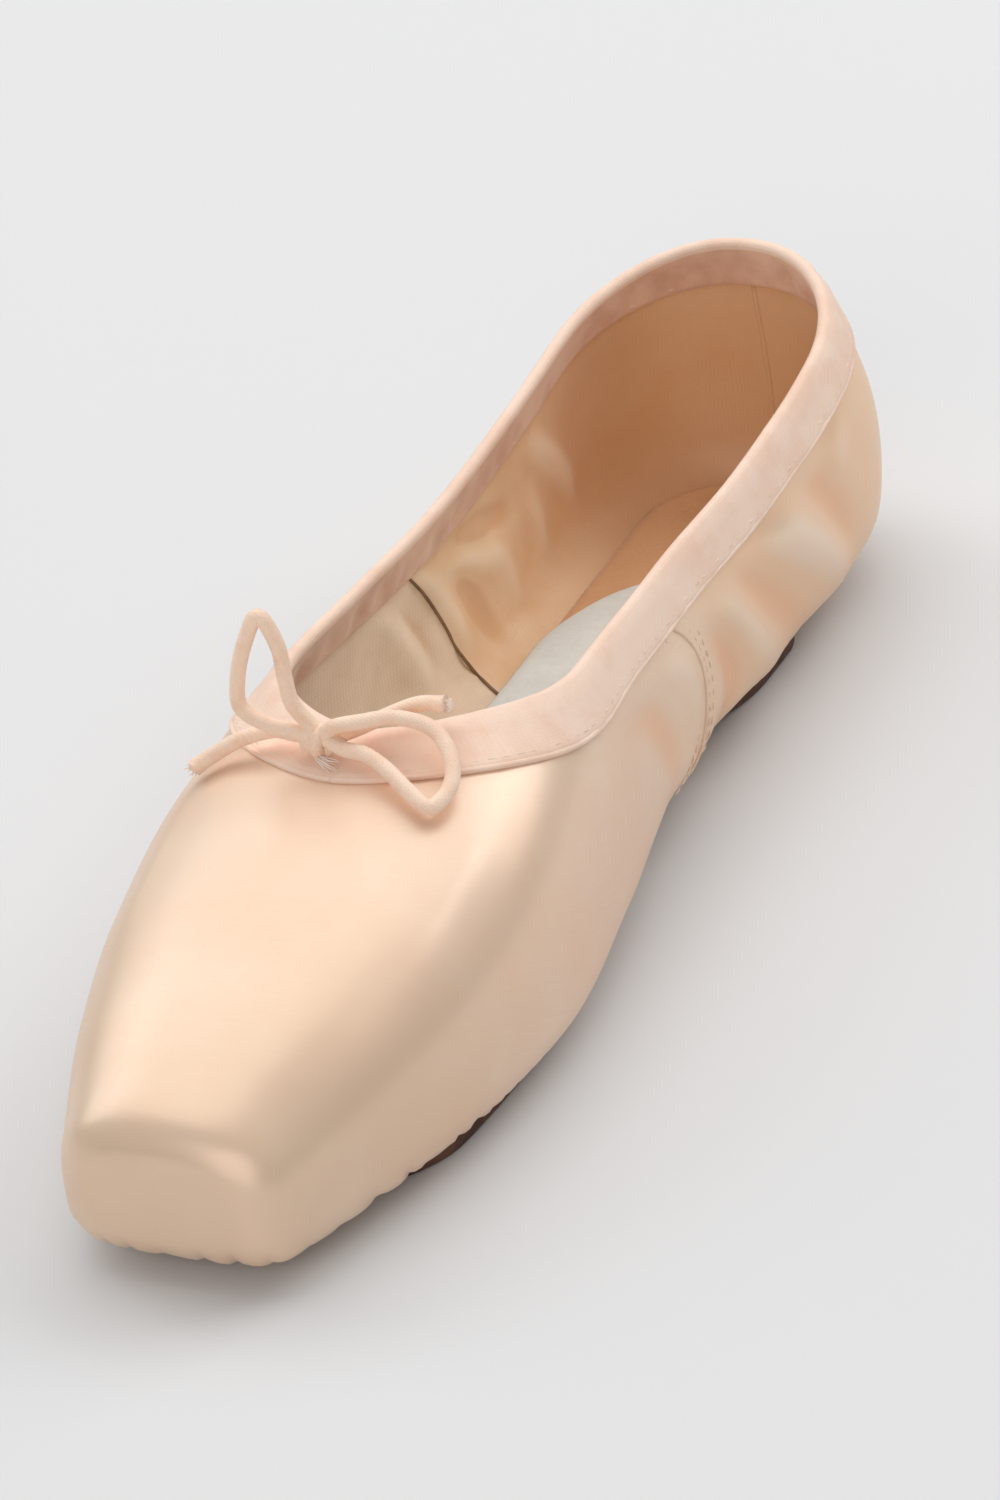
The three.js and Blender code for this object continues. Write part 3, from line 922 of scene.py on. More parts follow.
class Nodes:
    """Adds shader nodes to one new material."""

    def __init__(self, name: str) -> None:
        """Starts a material with a plain shader.

        Args:
            name: the material's name.
        """
        self.material = bpy.data.materials.new(name)
        self.material.use_nodes = True
        self.tree = self.material.node_tree
        self.shader = self.tree.nodes["Principled BSDF"]

    def add(self, kind: str, **settings: object) -> bpy.types.Node:
        """Adds a node.

        Args:
            kind: Blender's name of the node type.
            **settings: attributes to set on it.

        Returns:
            The node.
        """
        node = self.tree.nodes.new(kind)
        for key, value in settings.items():
            setattr(node, key, value)
        return node

    def feed(self, socket: bpy.types.NodeSocket, value: object) -> None:
        """Links an output to a socket, or sets a plain value on it.

        Args:
            socket: the input.
            value: another node's output, a number or a tuple.
        """
        if isinstance(value, bpy.types.NodeSocket):
            self.tree.links.new(value, socket)
        else:
            socket.default_value = value

    def set(self, **values: float | Colour | tuple) -> None:
        """Sets the shader's own sockets.

        Args:
            **values: values by the socket's name, with _ for a space.
        """
        for key, value in values.items():
            socket = self.shader.inputs[key.replace("_", " ")]
            self.feed(socket, value)

    def places(self, cloth: bool, scale: Point = (1.0, 1.0, 1.0)) -> bpy.types.NodeSocket:
        """Gives texture places in millimetres.

        Args:
            cloth: whether they follow the cloth, or the shoe's own axes.
            scale: factors that stretch them.

        Returns:
            The vector output.
        """
        source = self.add("ShaderNodeTexCoord").outputs["UV" if cloth else "Object"]
        size = 100.0 if cloth else 1000.0
        times = self.add("ShaderNodeVectorMath", operation="MULTIPLY")
        self.feed(times.inputs[0], source)
        self.feed(times.inputs[1], tuple(size * s for s in scale))
        return times.outputs[0]

    def math(self, operation: str, a: object, b: object = 0.0, clamp: bool = False) -> bpy.types.NodeSocket:
        """Works out a number.

        Args:
            operation: Blender's name of the operation.
            a: the first input.
            b: the second input.
            clamp: whether to keep the result from 0 to 1.

        Returns:
            The value output.
        """
        node = self.add("ShaderNodeMath", operation=operation, use_clamp=clamp)
        self.feed(node.inputs[0], a)
        self.feed(node.inputs[1], b)
        return node.outputs[0]

    def noise(self, places: bpy.types.NodeSocket, scale: float, detail: float = 3.0,
              rough: float = 0.5) -> bpy.types.NodeSocket:
        """Adds cloudy noise.

        Args:
            places: where to read it.
            scale: its fineness.
            detail: how many finer layers it has.
            rough: how strong those are.

        Returns:
            The value output.
        """
        node = self.add("ShaderNodeTexNoise")
        self.feed(node.inputs["Vector"], places)
        self.feed(node.inputs["Scale"], scale)
        self.feed(node.inputs["Detail"], detail)
        self.feed(node.inputs["Roughness"], rough)
        return node.outputs["Fac"]

    def step(self, value: object, start: float, end: float, low: float = 0.0,
             high: float = 1.0) -> bpy.types.NodeSocket:
        """Maps a value smoothly from one range to another.

        Args:
            value: the value to map.
            start: where the range begins.
            end: where it ends.
            low: the result at the start.
            high: the result at the end.

        Returns:
            The mapped value.
        """
        node = self.add("ShaderNodeMapRange", interpolation_type="SMOOTHSTEP")
        for key, given in (("Value", value), ("From Min", start), ("From Max", end),
                           ("To Min", low), ("To Max", high)):
            self.feed(node.inputs[key], given)
        return node.outputs[0]

    def mix(self, factor: object, a: object, b: object) -> bpy.types.NodeSocket:
        """Mixes two colours.

        Args:
            factor: the share of the second one.
            a: the first colour, a tuple or an output.
            b: the second colour.

        Returns:
            The colour output.
        """
        node = self.add("ShaderNodeMix", data_type="RGBA")
        self.feed(node.inputs[0], factor)
        self.feed(node.inputs[6], (*a, 1.0) if isinstance(a, tuple) else a)
        self.feed(node.inputs[7], (*b, 1.0) if isinstance(b, tuple) else b)
        return node.outputs[2]

    def split(self, places: bpy.types.NodeSocket) -> bpy.types.Node:
        """Takes texture places apart.

        Args:
            places: the places.

        Returns:
            The node, with X, Y and Z as its outputs.
        """
        node = self.add("ShaderNodeSeparateXYZ")
        self.feed(node.inputs[0], places)
        return node

    def ribs(self, places: bpy.types.NodeSocket, axis: int, pitch: float) -> bpy.types.NodeSocket:
        """Makes even ribs, 0 in the grooves and 1 on the crests.

        Args:
            places: texture places in millimetres.
            axis: the axis that the ribs follow each other along.
            pitch: the distance between crests.

        Returns:
            The value output.
        """
        place = self.split(places).outputs[axis]
        wave = self.math("SINE", self.math("MULTIPLY", place, 2 * math.pi / pitch))
        return self.math("MULTIPLY_ADD", wave, 0.5)

    def crease(self) -> bpy.types.NodeSocket:
        """Gives the height of the cloth's folds, in millimetres."""
        return self.add("ShaderNodeAttribute", attribute_name="crease").outputs["Fac"]

    def bump(self, height: object, depth: float, strength: float = 1.0,
             below: bpy.types.NodeSocket | None = None) -> bpy.types.NodeSocket:
        """Turns heights into a bumpy normal.

        Args:
            height: heights from 0 to 1.
            depth: the height of 1, in millimetres.
            strength: how much of it shows.
            below: a normal to add it to.

        Returns:
            The normal output.
        """
        node = self.add("ShaderNodeBump")
        self.feed(node.inputs["Strength"], strength)
        self.feed(node.inputs["Distance"], depth * MM)
        self.feed(node.inputs["Height"], height)
        if below is not None:
            self.feed(node.inputs["Normal"], below)
        return node.outputs["Normal"]


@dataclass(frozen=True)
class SatinFinish:
    """Peach satin: a pearly sheen over fine threads, with slightly warmer patches, painted highlights on the
    folds' ridges, painted warm shade in their hollows, painted shade darker towards the toe and painted warm
    shade on the quarters.
    """

    name: str = "satin"
    slot: str = "satin"
    pale: Colour = (0.87, 0.665, 0.505)
    warm: Colour = (0.845, 0.585, 0.42)
    # The ridge colour is a painted highlight on the folds' ridges; the hollow colour is painted warm shade
    # in their hollows.
    ridge: Colour = (0.85, 0.71, 0.575)
    hollow_shade: Colour = (0.88, 0.50, 0.295)
    # The toe colour is painted shade: the satin gets darker towards the toe.
    toe: Colour = (0.70, 0.53, 0.37)
    # The quarter colour is painted warm shade on the quarters.
    quarter: Colour = (0.89, 0.575, 0.345)
    roughness: float = 0.34

    def material(self) -> bpy.types.Material:
        """Makes the material.

        Returns:
            The material.
        """
        nodes = Nodes(self.name)
        patches = nodes.noise(nodes.places(cloth=False), 0.03, 3.0, 0.55)
        warp = nodes.noise(nodes.places(cloth=True, scale=(2.6, 0.10, 1.0)), 1.0, 2.0)
        weft = nodes.noise(nodes.places(cloth=True, scale=(0.08, 2.4, 1.0)), 1.0, 2.0)
        thread = nodes.math("ADD", nodes.math("MULTIPLY", warp, 0.35), nodes.math("MULTIPLY", weft, 0.65))
        tone = nodes.math("ADD", nodes.step(patches, 0.32, 0.72), nodes.step(thread, 0.3, 0.75, -0.10, 0.16))
        crease = nodes.crease()
        split = nodes.split(nodes.places(cloth=False))
        cloth = nodes.mix(tone, self.pale, self.warm)
        # Painted shade: darker towards the toe.
        cloth = nodes.mix(nodes.step(split.outputs[1], -40.0, -110.0, 0.0, 0.4), cloth, self.toe)
        # Painted warm shade: more orange on the quarters, towards the heel.
        cloth = nodes.mix(nodes.step(split.outputs[1], 0.0, 45.0, 0.0, 0.6), cloth, self.quarter)
        # Painted highlight on the folds' ridges, then painted warm shade in their hollows, read from the
        # crease heights.
        cloth = nodes.mix(nodes.step(crease, 0.1, 1.5, 0.0, 0.6), cloth, self.ridge)
        nodes.set(Base_Color=nodes.mix(nodes.step(crease, -0.1, -1.3, 0.0, 0.8), cloth, self.hollow_shade))
        nodes.set(Roughness=nodes.step(thread, 0.3, 0.7, self.roughness - 0.03, self.roughness + 0.05))
        slub = nodes.noise(nodes.places(cloth=True, scale=(0.3, 0.8, 1.0)), 1.0, 3.0, 0.5)
        nodes.set(Normal=nodes.bump(thread, 0.03, 0.22, nodes.bump(slub, 0.05, 0.15)))
        nodes.set(Metallic=0.22, Specular_IOR_Level=0.55, Anisotropic=0.3)
        nodes.set(Sheen_Weight=0.08, Sheen_Roughness=0.35, Sheen_Tint=(1.0, 0.90, 0.82, 1.0))
        return nodes.material


@dataclass(frozen=True)
class TapeFinish:
    """Matte cotton tape with fine cross ribs, with painted shade in the grooves between them."""

    name: str = "tape"
    slot: str = "tape"
    pale: Colour = (0.93, 0.70, 0.56)
    # The warm colour serves both the patches' tone and painted shade in the weave's grooves.
    warm: Colour = (0.88, 0.605, 0.46)

    def material(self) -> bpy.types.Material:
        """Makes the material.

        Returns:
            The material.
        """
        nodes = Nodes(self.name)
        cloth = nodes.places(cloth=True)
        rib = nodes.ribs(cloth, 0, 0.75)
        cross = nodes.ribs(cloth, 1, 0.6)
        weave = nodes.math("MULTIPLY", rib, cross)
        patches = nodes.noise(nodes.places(cloth=False), 0.11, 3.0, 0.6)
        # The weave's grooves shift towards the warm colour: painted shade between the ribs.
        tone = nodes.math("ADD", nodes.step(patches, 0.35, 0.72), nodes.math("MULTIPLY", weave, -0.16))
        nodes.set(Base_Color=nodes.mix(tone, self.pale, self.warm))
        fuzz = nodes.noise(cloth, 1.6, 4.0, 0.65)
        nodes.set(Normal=nodes.bump(weave, 0.06, 0.5, nodes.bump(fuzz, 0.12, 0.4)))
        nodes.set(Roughness=0.72, Sheen_Weight=0.35, Sheen_Roughness=0.5)
        nodes.set(Sheen_Tint=(1.0, 0.92, 0.86, 1.0), Specular_IOR_Level=0.3)
        return nodes.material


@dataclass(frozen=True)
class LiningFinish:
    """Lining cloth: plain weave with stains and creases of wear, painted shade in the weave's grooves,
    painted highlights on the creases' ridges, painted shade in their hollows, and browner towards the heel.
    """

    name: str
    pale: Colour
    brown: Colour
    roughness: float = 0.78
    # The ridge colour is a painted highlight on the creases' ridges; the heel colour makes the lining
    # browner towards the heel and also serves as painted shade in the creases' hollows.
    ridge: Colour = (0.95, 0.79, 0.60)
    heel: Colour = (0.72, 0.40, 0.20)
    slot: str = "satin"
    weave: float = 0.9

    def material(self) -> bpy.types.Material:
        """Makes the material.

        Returns:
            The material.
        """
        nodes = Nodes(self.name)
        cloth = nodes.places(cloth=True)
        weave = nodes.math("MULTIPLY", nodes.ribs(cloth, 0, self.weave), nodes.ribs(cloth, 1, self.weave))
        broad = nodes.noise(nodes.places(cloth=False), 0.06, 4.0, 0.6)
        specks = nodes.noise(nodes.places(cloth=False), 0.7, 2.0, 0.5)
        tone = nodes.math("ADD", nodes.step(broad, 0.3, 0.75), nodes.step(specks, 0.72, 0.8, 0.0, 0.5))
        # The weave's grooves shift towards brown: painted shade between the threads.
        tone = nodes.math("ADD", tone, nodes.math("MULTIPLY", weave, -0.18), clamp=True)
        split = nodes.split(nodes.places(cloth=False))
        crease = nodes.crease()
        cloth = nodes.mix(tone, self.pale, self.brown)
        cloth = nodes.mix(nodes.step(split.outputs[1], 40.0, 112.0, 0.0, 0.75), cloth, self.heel)
        # Painted highlight on the creases' ridges.
        cloth = nodes.mix(nodes.step(crease, 0.15, 1.1, 0.0, 0.6), cloth, self.ridge)
        # Painted shade in the creases' hollows.
        nodes.set(Base_Color=nodes.mix(nodes.step(crease, -0.1, -0.6, 0.0, 0.55), cloth, self.heel))
        nodes.set(Normal=nodes.bump(weave, 0.10, 0.3, nodes.bump(broad, 0.6, 0.3)))
        nodes.set(Roughness=self.roughness, Sheen_Weight=0.15, Specular_IOR_Level=0.4)
        return nodes.material


@dataclass(frozen=True)
class LeatherFinish:
    """Brown sole leather: fine grain, scored crosswise under the ball of the foot, two pin holes."""

    name: str = "sole_leather"
    slot: str = "sole_leather"
    pale: Colour = (0.40, 0.185, 0.105)
    deep: Colour = (0.27, 0.112, 0.062)
    scored: Colour = (0.14, 0.055, 0.03)
    score_pitch: float = 15.0
    score_angle: float = 36.0
    score_end: float = -22.0
    pin_holes: tuple[tuple[float, float], ...] = ((-7.5, -24.0), (8.0, 66.0))

    def score(self, nodes: Nodes, split: bpy.types.Node, angle: float) -> bpy.types.NodeSocket:
        """Draws one set of score lines.

        Args:
            nodes: the material's nodes.
            split: the node that gives X and Y in millimetres.
            angle: the lines' angle in degrees.

        Returns:
            A value of 1 on the lines.
        """
        turn = math.radians(angle)
        across = nodes.math("ADD", nodes.math("MULTIPLY", split.outputs[0], math.cos(turn)),
                            nodes.math("MULTIPLY", split.outputs[1], math.sin(turn)))
        share = nodes.math("FRACT", nodes.math("DIVIDE", across, self.score_pitch))
        away = nodes.math("ABSOLUTE", nodes.math("SUBTRACT", share, 0.5))
        return nodes.step(nodes.math("MULTIPLY", away, self.score_pitch), 0.55, 0.15)

    def material(self) -> bpy.types.Material:
        """Makes the material.

        Returns:
            The material.
        """
        nodes = Nodes(self.name)
        places = nodes.places(cloth=False)
        split = nodes.split(places)
        lines = nodes.math("MAXIMUM", self.score(nodes, split, self.score_angle),
                           self.score(nodes, split, -self.score_angle))
        ball = nodes.step(split.outputs[1], self.score_end + 4, self.score_end)
        lines = nodes.math("MULTIPLY", lines, ball)
        holes: bpy.types.NodeSocket | None = None
        for x, y in self.pin_holes:
            far = nodes.add("ShaderNodeVectorMath", operation="DISTANCE")
            flat = nodes.add("ShaderNodeVectorMath", operation="MULTIPLY")
            nodes.feed(flat.inputs[0], places)
            nodes.feed(flat.inputs[1], (1.0, 1.0, 0.0))
            nodes.feed(far.inputs[0], flat.outputs[0])
            nodes.feed(far.inputs[1], (x, y, 0.0))
            hole = nodes.step(far.outputs["Value"], 1.0, 0.5)
            holes = hole if holes is None else nodes.math("MAXIMUM", holes, hole)
        marks = nodes.math("MAXIMUM", lines, holes)
        broad = nodes.noise(places, 0.05, 4.0, 0.6)
        grain = nodes.noise(places, 1.4, 4.0, 0.65)
        tone = nodes.math("ADD", nodes.step(broad, 0.3, 0.72), nodes.step(grain, 0.3, 0.8, -0.15, 0.2),
                          clamp=True)
        leather = nodes.mix(tone, self.pale, self.deep)
        nodes.set(Base_Color=nodes.mix(nodes.math("MULTIPLY", marks, 0.75), leather, self.scored))
        ground = nodes.bump(grain, 0.10, 0.5)
        nodes.set(Normal=nodes.bump(nodes.math("SUBTRACT", 1.0, marks), 0.35, 0.8, ground))
        nodes.set(Roughness=nodes.step(grain, 0.3, 0.75, 0.55, 0.72), Specular_IOR_Level=0.4)
        return nodes.material


@dataclass(frozen=True)
class PlainFinish:
    """A small finish with grain: cut leather edge, sock cloth, thread or cord."""

    name: str
    slot: str
    pale: Colour
    deep: Colour
    roughness: float
    broad: float = 0.12
    grain: float = 1.5
    depth: float = 0.06
    sheen: float = 0.0

    def material(self) -> bpy.types.Material:
        """Makes the material.

        Returns:
            The material.
        """
        nodes = Nodes(self.name)
        places = nodes.places(cloth=False)
        patches = nodes.noise(places, self.broad, 3.0, 0.6)
        grain = nodes.noise(places, self.grain, 4.0, 0.6)
        tone = nodes.math("ADD", nodes.step(patches, 0.35, 0.7), nodes.step(grain, 0.3, 0.75, -0.2, 0.25),
                          clamp=True)
        nodes.set(Base_Color=nodes.mix(tone, self.pale, self.deep))
        nodes.set(Normal=nodes.bump(grain, self.depth, 0.6))
        nodes.set(Roughness=self.roughness, Sheen_Weight=self.sheen, Specular_IOR_Level=0.35)
        return nodes.material


@dataclass(frozen=True)
class CordFinish:
    """Braided cord: slanting threads that cross round it, with painted shade in the grooves between them."""

    name: str = "cord"
    slot: str = "cord"
    pale: Colour = (0.97, 0.73, 0.56)
    # The warm colour serves both the patches' tone and painted shade in the braid's grooves.
    warm: Colour = (0.92, 0.58, 0.41)
    pitch: float = 0.8

    def material(self) -> bpy.types.Material:
        """Makes the material.

        Returns:
            The material.
        """
        nodes = Nodes(self.name)
        cloth = nodes.places(cloth=True)
        split = nodes.split(cloth)
        waves = []
        for sign in (1.0, -1.0):
            slant = nodes.math("ADD", nodes.math("MULTIPLY", split.outputs[0], sign), split.outputs[1])
            wave = nodes.math("SINE", nodes.math("MULTIPLY", slant, 2 * math.pi / self.pitch))
            waves.append(nodes.math("MULTIPLY_ADD", wave, 0.5))
        braid = nodes.math("MAXIMUM", waves[0], waves[1])
        patches = nodes.noise(nodes.places(cloth=False), 0.25, 3.0, 0.6)
        # The braid's grooves shift towards the warm colour: painted shade between the threads.
        tone = nodes.math("ADD", nodes.step(patches, 0.3, 0.75, 0.0, 0.8),
                          nodes.math("MULTIPLY", braid, -0.2), clamp=True)
        nodes.set(Base_Color=nodes.mix(tone, self.pale, self.warm))
        nodes.set(Normal=nodes.bump(braid, 0.10, 0.5))
        nodes.set(Roughness=0.7, Sheen_Weight=0.4, Sheen_Roughness=0.5, Specular_IOR_Level=0.3)
        return nodes.material


def dress(thing: bpy.types.Object, material: bpy.types.Material, slot: str, *nodes: str) -> bpy.types.Object:
    """Gives a piece its finish, fixes it to the shoe and hides the solids that it stands for.

    Args:
        thing: the piece.
        material: its finish.
        slot: the record's slot of that finish; not used.
        *nodes: the solids that it replaces.

    Returns:
        The piece.
    """
    if not thing.data.materials:
        thing.data.materials.append(material)
    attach(thing, BODY)
    if nodes:
        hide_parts(*nodes)
    LOG.info("made %s", thing.name)
    return thing


@dataclass
class SatinUpper:
    """The satin outside of the upper: platform, box, vamp, quarters, pleats and creases."""

    last: Last
    skin: Skin
    maker: MeshMaker
    finish: SatinFinish = SatinFinish()
    rows: int = 150
    pleat_pitch: float = 5.4
    pleat_depth: float = 0.9
    tape_clear: float = 6.0
    edge_passes: int = 60
    folds: tuple[Fold, ...] = (
        Fold(Face.NEAR_WALL, ((144, 41), (155, 32), (164, 20), (171, 10)), 4.6, 1.62),
        Fold(Face.NEAR_WALL, ((161, 42), (177, 31.5), (193, 18), (201, 9)), 4.8, 1.69),
        Fold(Face.NEAR_WALL, ((152, 40), (165, 27), (178, 15), (185, 8)), 5.0, -1.43),
        Fold(Face.NEAR_WALL, ((186, 38), (196, 27), (204, 12)), 4.6, -1.3),
        Fold(Face.NEAR_WALL, ((148, 31), (154, 21), (154, 14), (147, 9)), 3.8, -1.3),
        Fold(Face.NEAR_WALL, ((116, 40), (128, 36), (136, 28), (138, 20)), 3.4, 1.04),
        Fold(Face.NEAR_WALL, ((112, 34), (122, 28), (128, 18), (126, 10)), 5.0, -1.04),
        Fold(Face.NEAR_WALL, ((208, 45), (203, 38), (199, 30)), 3.4, 1.04),
        Fold(Face.NEAR_WALL, ((222, 42), (218, 30), (214, 18)), 5.0, 0.78),
        Fold(Face.FAR_WALL, ((146, 40), (156, 30), (166, 18), (172, 10)), 4.6, 1.43),
        Fold(Face.FAR_WALL, ((158, 41), (168, 30), (182, 17)), 4.8, -1.43),
        Fold(Face.FAR_WALL, ((172, 40), (186, 28), (198, 14)), 4.6, 1.43),
        Fold(Face.FAR_WALL, ((188, 38), (198, 27), (206, 14)), 4.6, -1.17),
        Fold(Face.FAR_WALL, ((114, 36), (124, 27), (130, 14)), 4.6, -0.91),
        Fold(Face.TOP, ((25.0, 40), (25.4, 52), (25.6, 64), (25.0, 76)), 3.4, 0.35),
        Fold(Face.TOP, ((-25.0, 40), (-25.4, 52), (-25.6, 64), (-25.0, 76)), 3.4, 0.35),
    )

    def pleats(self, points: Array, distance: Array) -> Array:
        """Depth of the gathers that turn the satin under the toe and the heel.

        Args:
            points: the upper's points.
            distance: their distances from the collar.

        Returns:
            The heights, inwards.
        """
        edge = points[:, -1]
        step = np.linalg.norm(np.diff(edge, axis=0, append=edge[:1]), axis=1)
        run = np.cumsum(step * 1.55) - step[0]
        uneven = run + 1.3 * waver(run, 5, 21.0)
        valley = (1 - np.abs(np.sin(math.pi * uneven / self.pleat_pitch))) ** 1.6
        valley *= np.clip(0.6 + 0.5 * waver(run, 9, 17.0), 0.1, 1.0)
        left = self.skin.length[:, None] - distance
        low = np.maximum(smoothstep(left, 17.5, 8.0), smoothstep(points[..., 2], 10.5, 5.0))
        along = points[..., 1]
        toe = smoothstep(along, 66, 40)
        heel = 0.55 * smoothstep(along, 188, 206) * smoothstep(np.abs(points[..., 0]), 5.5, 8.5)
        return -self.pleat_depth * valley[:, None] * low * np.maximum(toe, heel)

    def creases(self, points: Array, distance: Array) -> Array:
        """Heights of the listed folds, kept flat under the collar tape.

        Args:
            points: the upper's points.
            distance: their distances from the collar.

        Returns:
            The heights, outwards.
        """
        folds = sum(fold.relief(points, self.last) for fold in self.folds)
        return folds * smoothstep(distance, self.tape_clear, 14.0)

    def relief(self, points: Array, distance: Array) -> Array:
        """All small forms of the satin together, other than the folds.

        Args:
            points: the upper's points.
            distance: their distances from the collar.

        Returns:
            The heights, outwards.
        """
        total = self.pleats(points, distance)
        x, along, z = points[..., 0], points[..., 1], points[..., 2]
        wave = (np.sin(along / 9.3 + z / 6.1) + np.sin(along / 14.7 - x / 8.2 + 1.0)
                + np.sin(z / 7.7 + x / 11.0 + 2.0))
        quarter = 0.35 + 0.65 * smoothstep(along, 105, 135)
        tucks = 0.10 * waver(along + 0.7 * z, 3, 8.0) * smoothstep(distance, 14, 5)
        return total + 0.07 * wave * quarter + tucks

    def soften(self, points: Array) -> Array:
        """Lets the satin run softly over the platform's edge.

        Args:
            points: the upper's points, one row for each cut.

        Returns:
            The softened points.
        """
        share = 0.5 * smoothstep(points[:, 1:-1, 1], 17.0, 9.0)[..., None]
        share = share * smoothstep(points[:, 1:-1, 2], 8.0, 14.0)[..., None]
        soft = points.copy()
        for _ in range(self.edge_passes):
            between = (soft[:, 2:] + soft[:, :-2]) / 2
            soft[:, 1:-1] += share * (between - soft[:, 1:-1])
        return soft

    def build(self) -> list[bpy.types.Object]:
        """Makes the satin.

        Returns:
            The pieces.
        """
        count = len(self.skin.points)
        distance = self.skin.spread(np.zeros(count), self.skin.length, self.rows, 0.25)
        points = self.soften(self.skin.at(distance))
        normals = self.skin.normals(points)
        creases = self.creases(points, distance)
        points = points + normals * (self.relief(points, distance) + creases)[..., None]
        uv = self.skin.cloth_places(points, distance, self.rows // 2)
        satin = self.maker.grid("satin_upper", points, uv, round_closed=True)
        self.maker.note_creases(satin, creases)
        return [dress(satin, self.finish.material(), self.finish.slot, "upper")]


@dataclass
class SideSeams:
    """The seams between vamp and quarters, with their fold and stitches."""

    last: Last
    maker: MeshMaker
    fold_material: bpy.types.Material
    thread_material: bpy.types.Material
    line: tuple[tuple[float, float], ...] = (
        (133.5, 40.0), (140.5, 32.5), (143.0, 24.5), (141.5, 17.0), (137.0, 11.0), (131.0, 7.4))
    fold_radius: float = 0.42
    stitch_pitch: float = 2.1
    stitch_rows: tuple[float, ...] = (-2.6, 1.6, 3.2)

    def build(self) -> list[bpy.types.Object]:
        """Makes both seams.

        Returns:
            The pieces.
        """
        pieces = []
        for side in Side:
            name = side.name.lower()
            line = smooth_line(self.line, 60)
            points, outward = self.last.on_wall(line, side)
            points = points + 0.12 * outward
            radius = self.fold_radius * (0.9 + 0.1 * np.sin(np.arange(60) * 0.9))
            fold = self.maker.tube(f"side_seam_{name}", points, radius, 8, 0.7)
            pieces.append(dress(fold, self.fold_material, "satin"))
            for k, shift in enumerate(self.stitch_rows):
                whole = smooth_line(self.line, 200)
                run = np.linalg.norm(np.diff(whole, axis=0), axis=1).sum()
                count = int(run / self.stitch_pitch)
                heading = unit(np.gradient(whole, axis=0))
                moved = whole + shift * np.stack([-heading[:, 1], heading[:, 0]], axis=1)
                moved[:, 1] = np.clip(moved[:, 1], 7.0, 40.0)
                spots = resample(moved, 2 * count + 1)[1::2]
                middles, up = self.last.on_wall(spots, side)
                middles = middles + 0.10 * up
                tangent = unit(np.gradient(middles, axis=0))
                row = self.maker.threads(f"seam_stitches_{name}_{k + 1}", middles, tangent, up, 1.5, 0.17)
                pieces.append(dress(row, self.thread_material, "satin"))
        return pieces


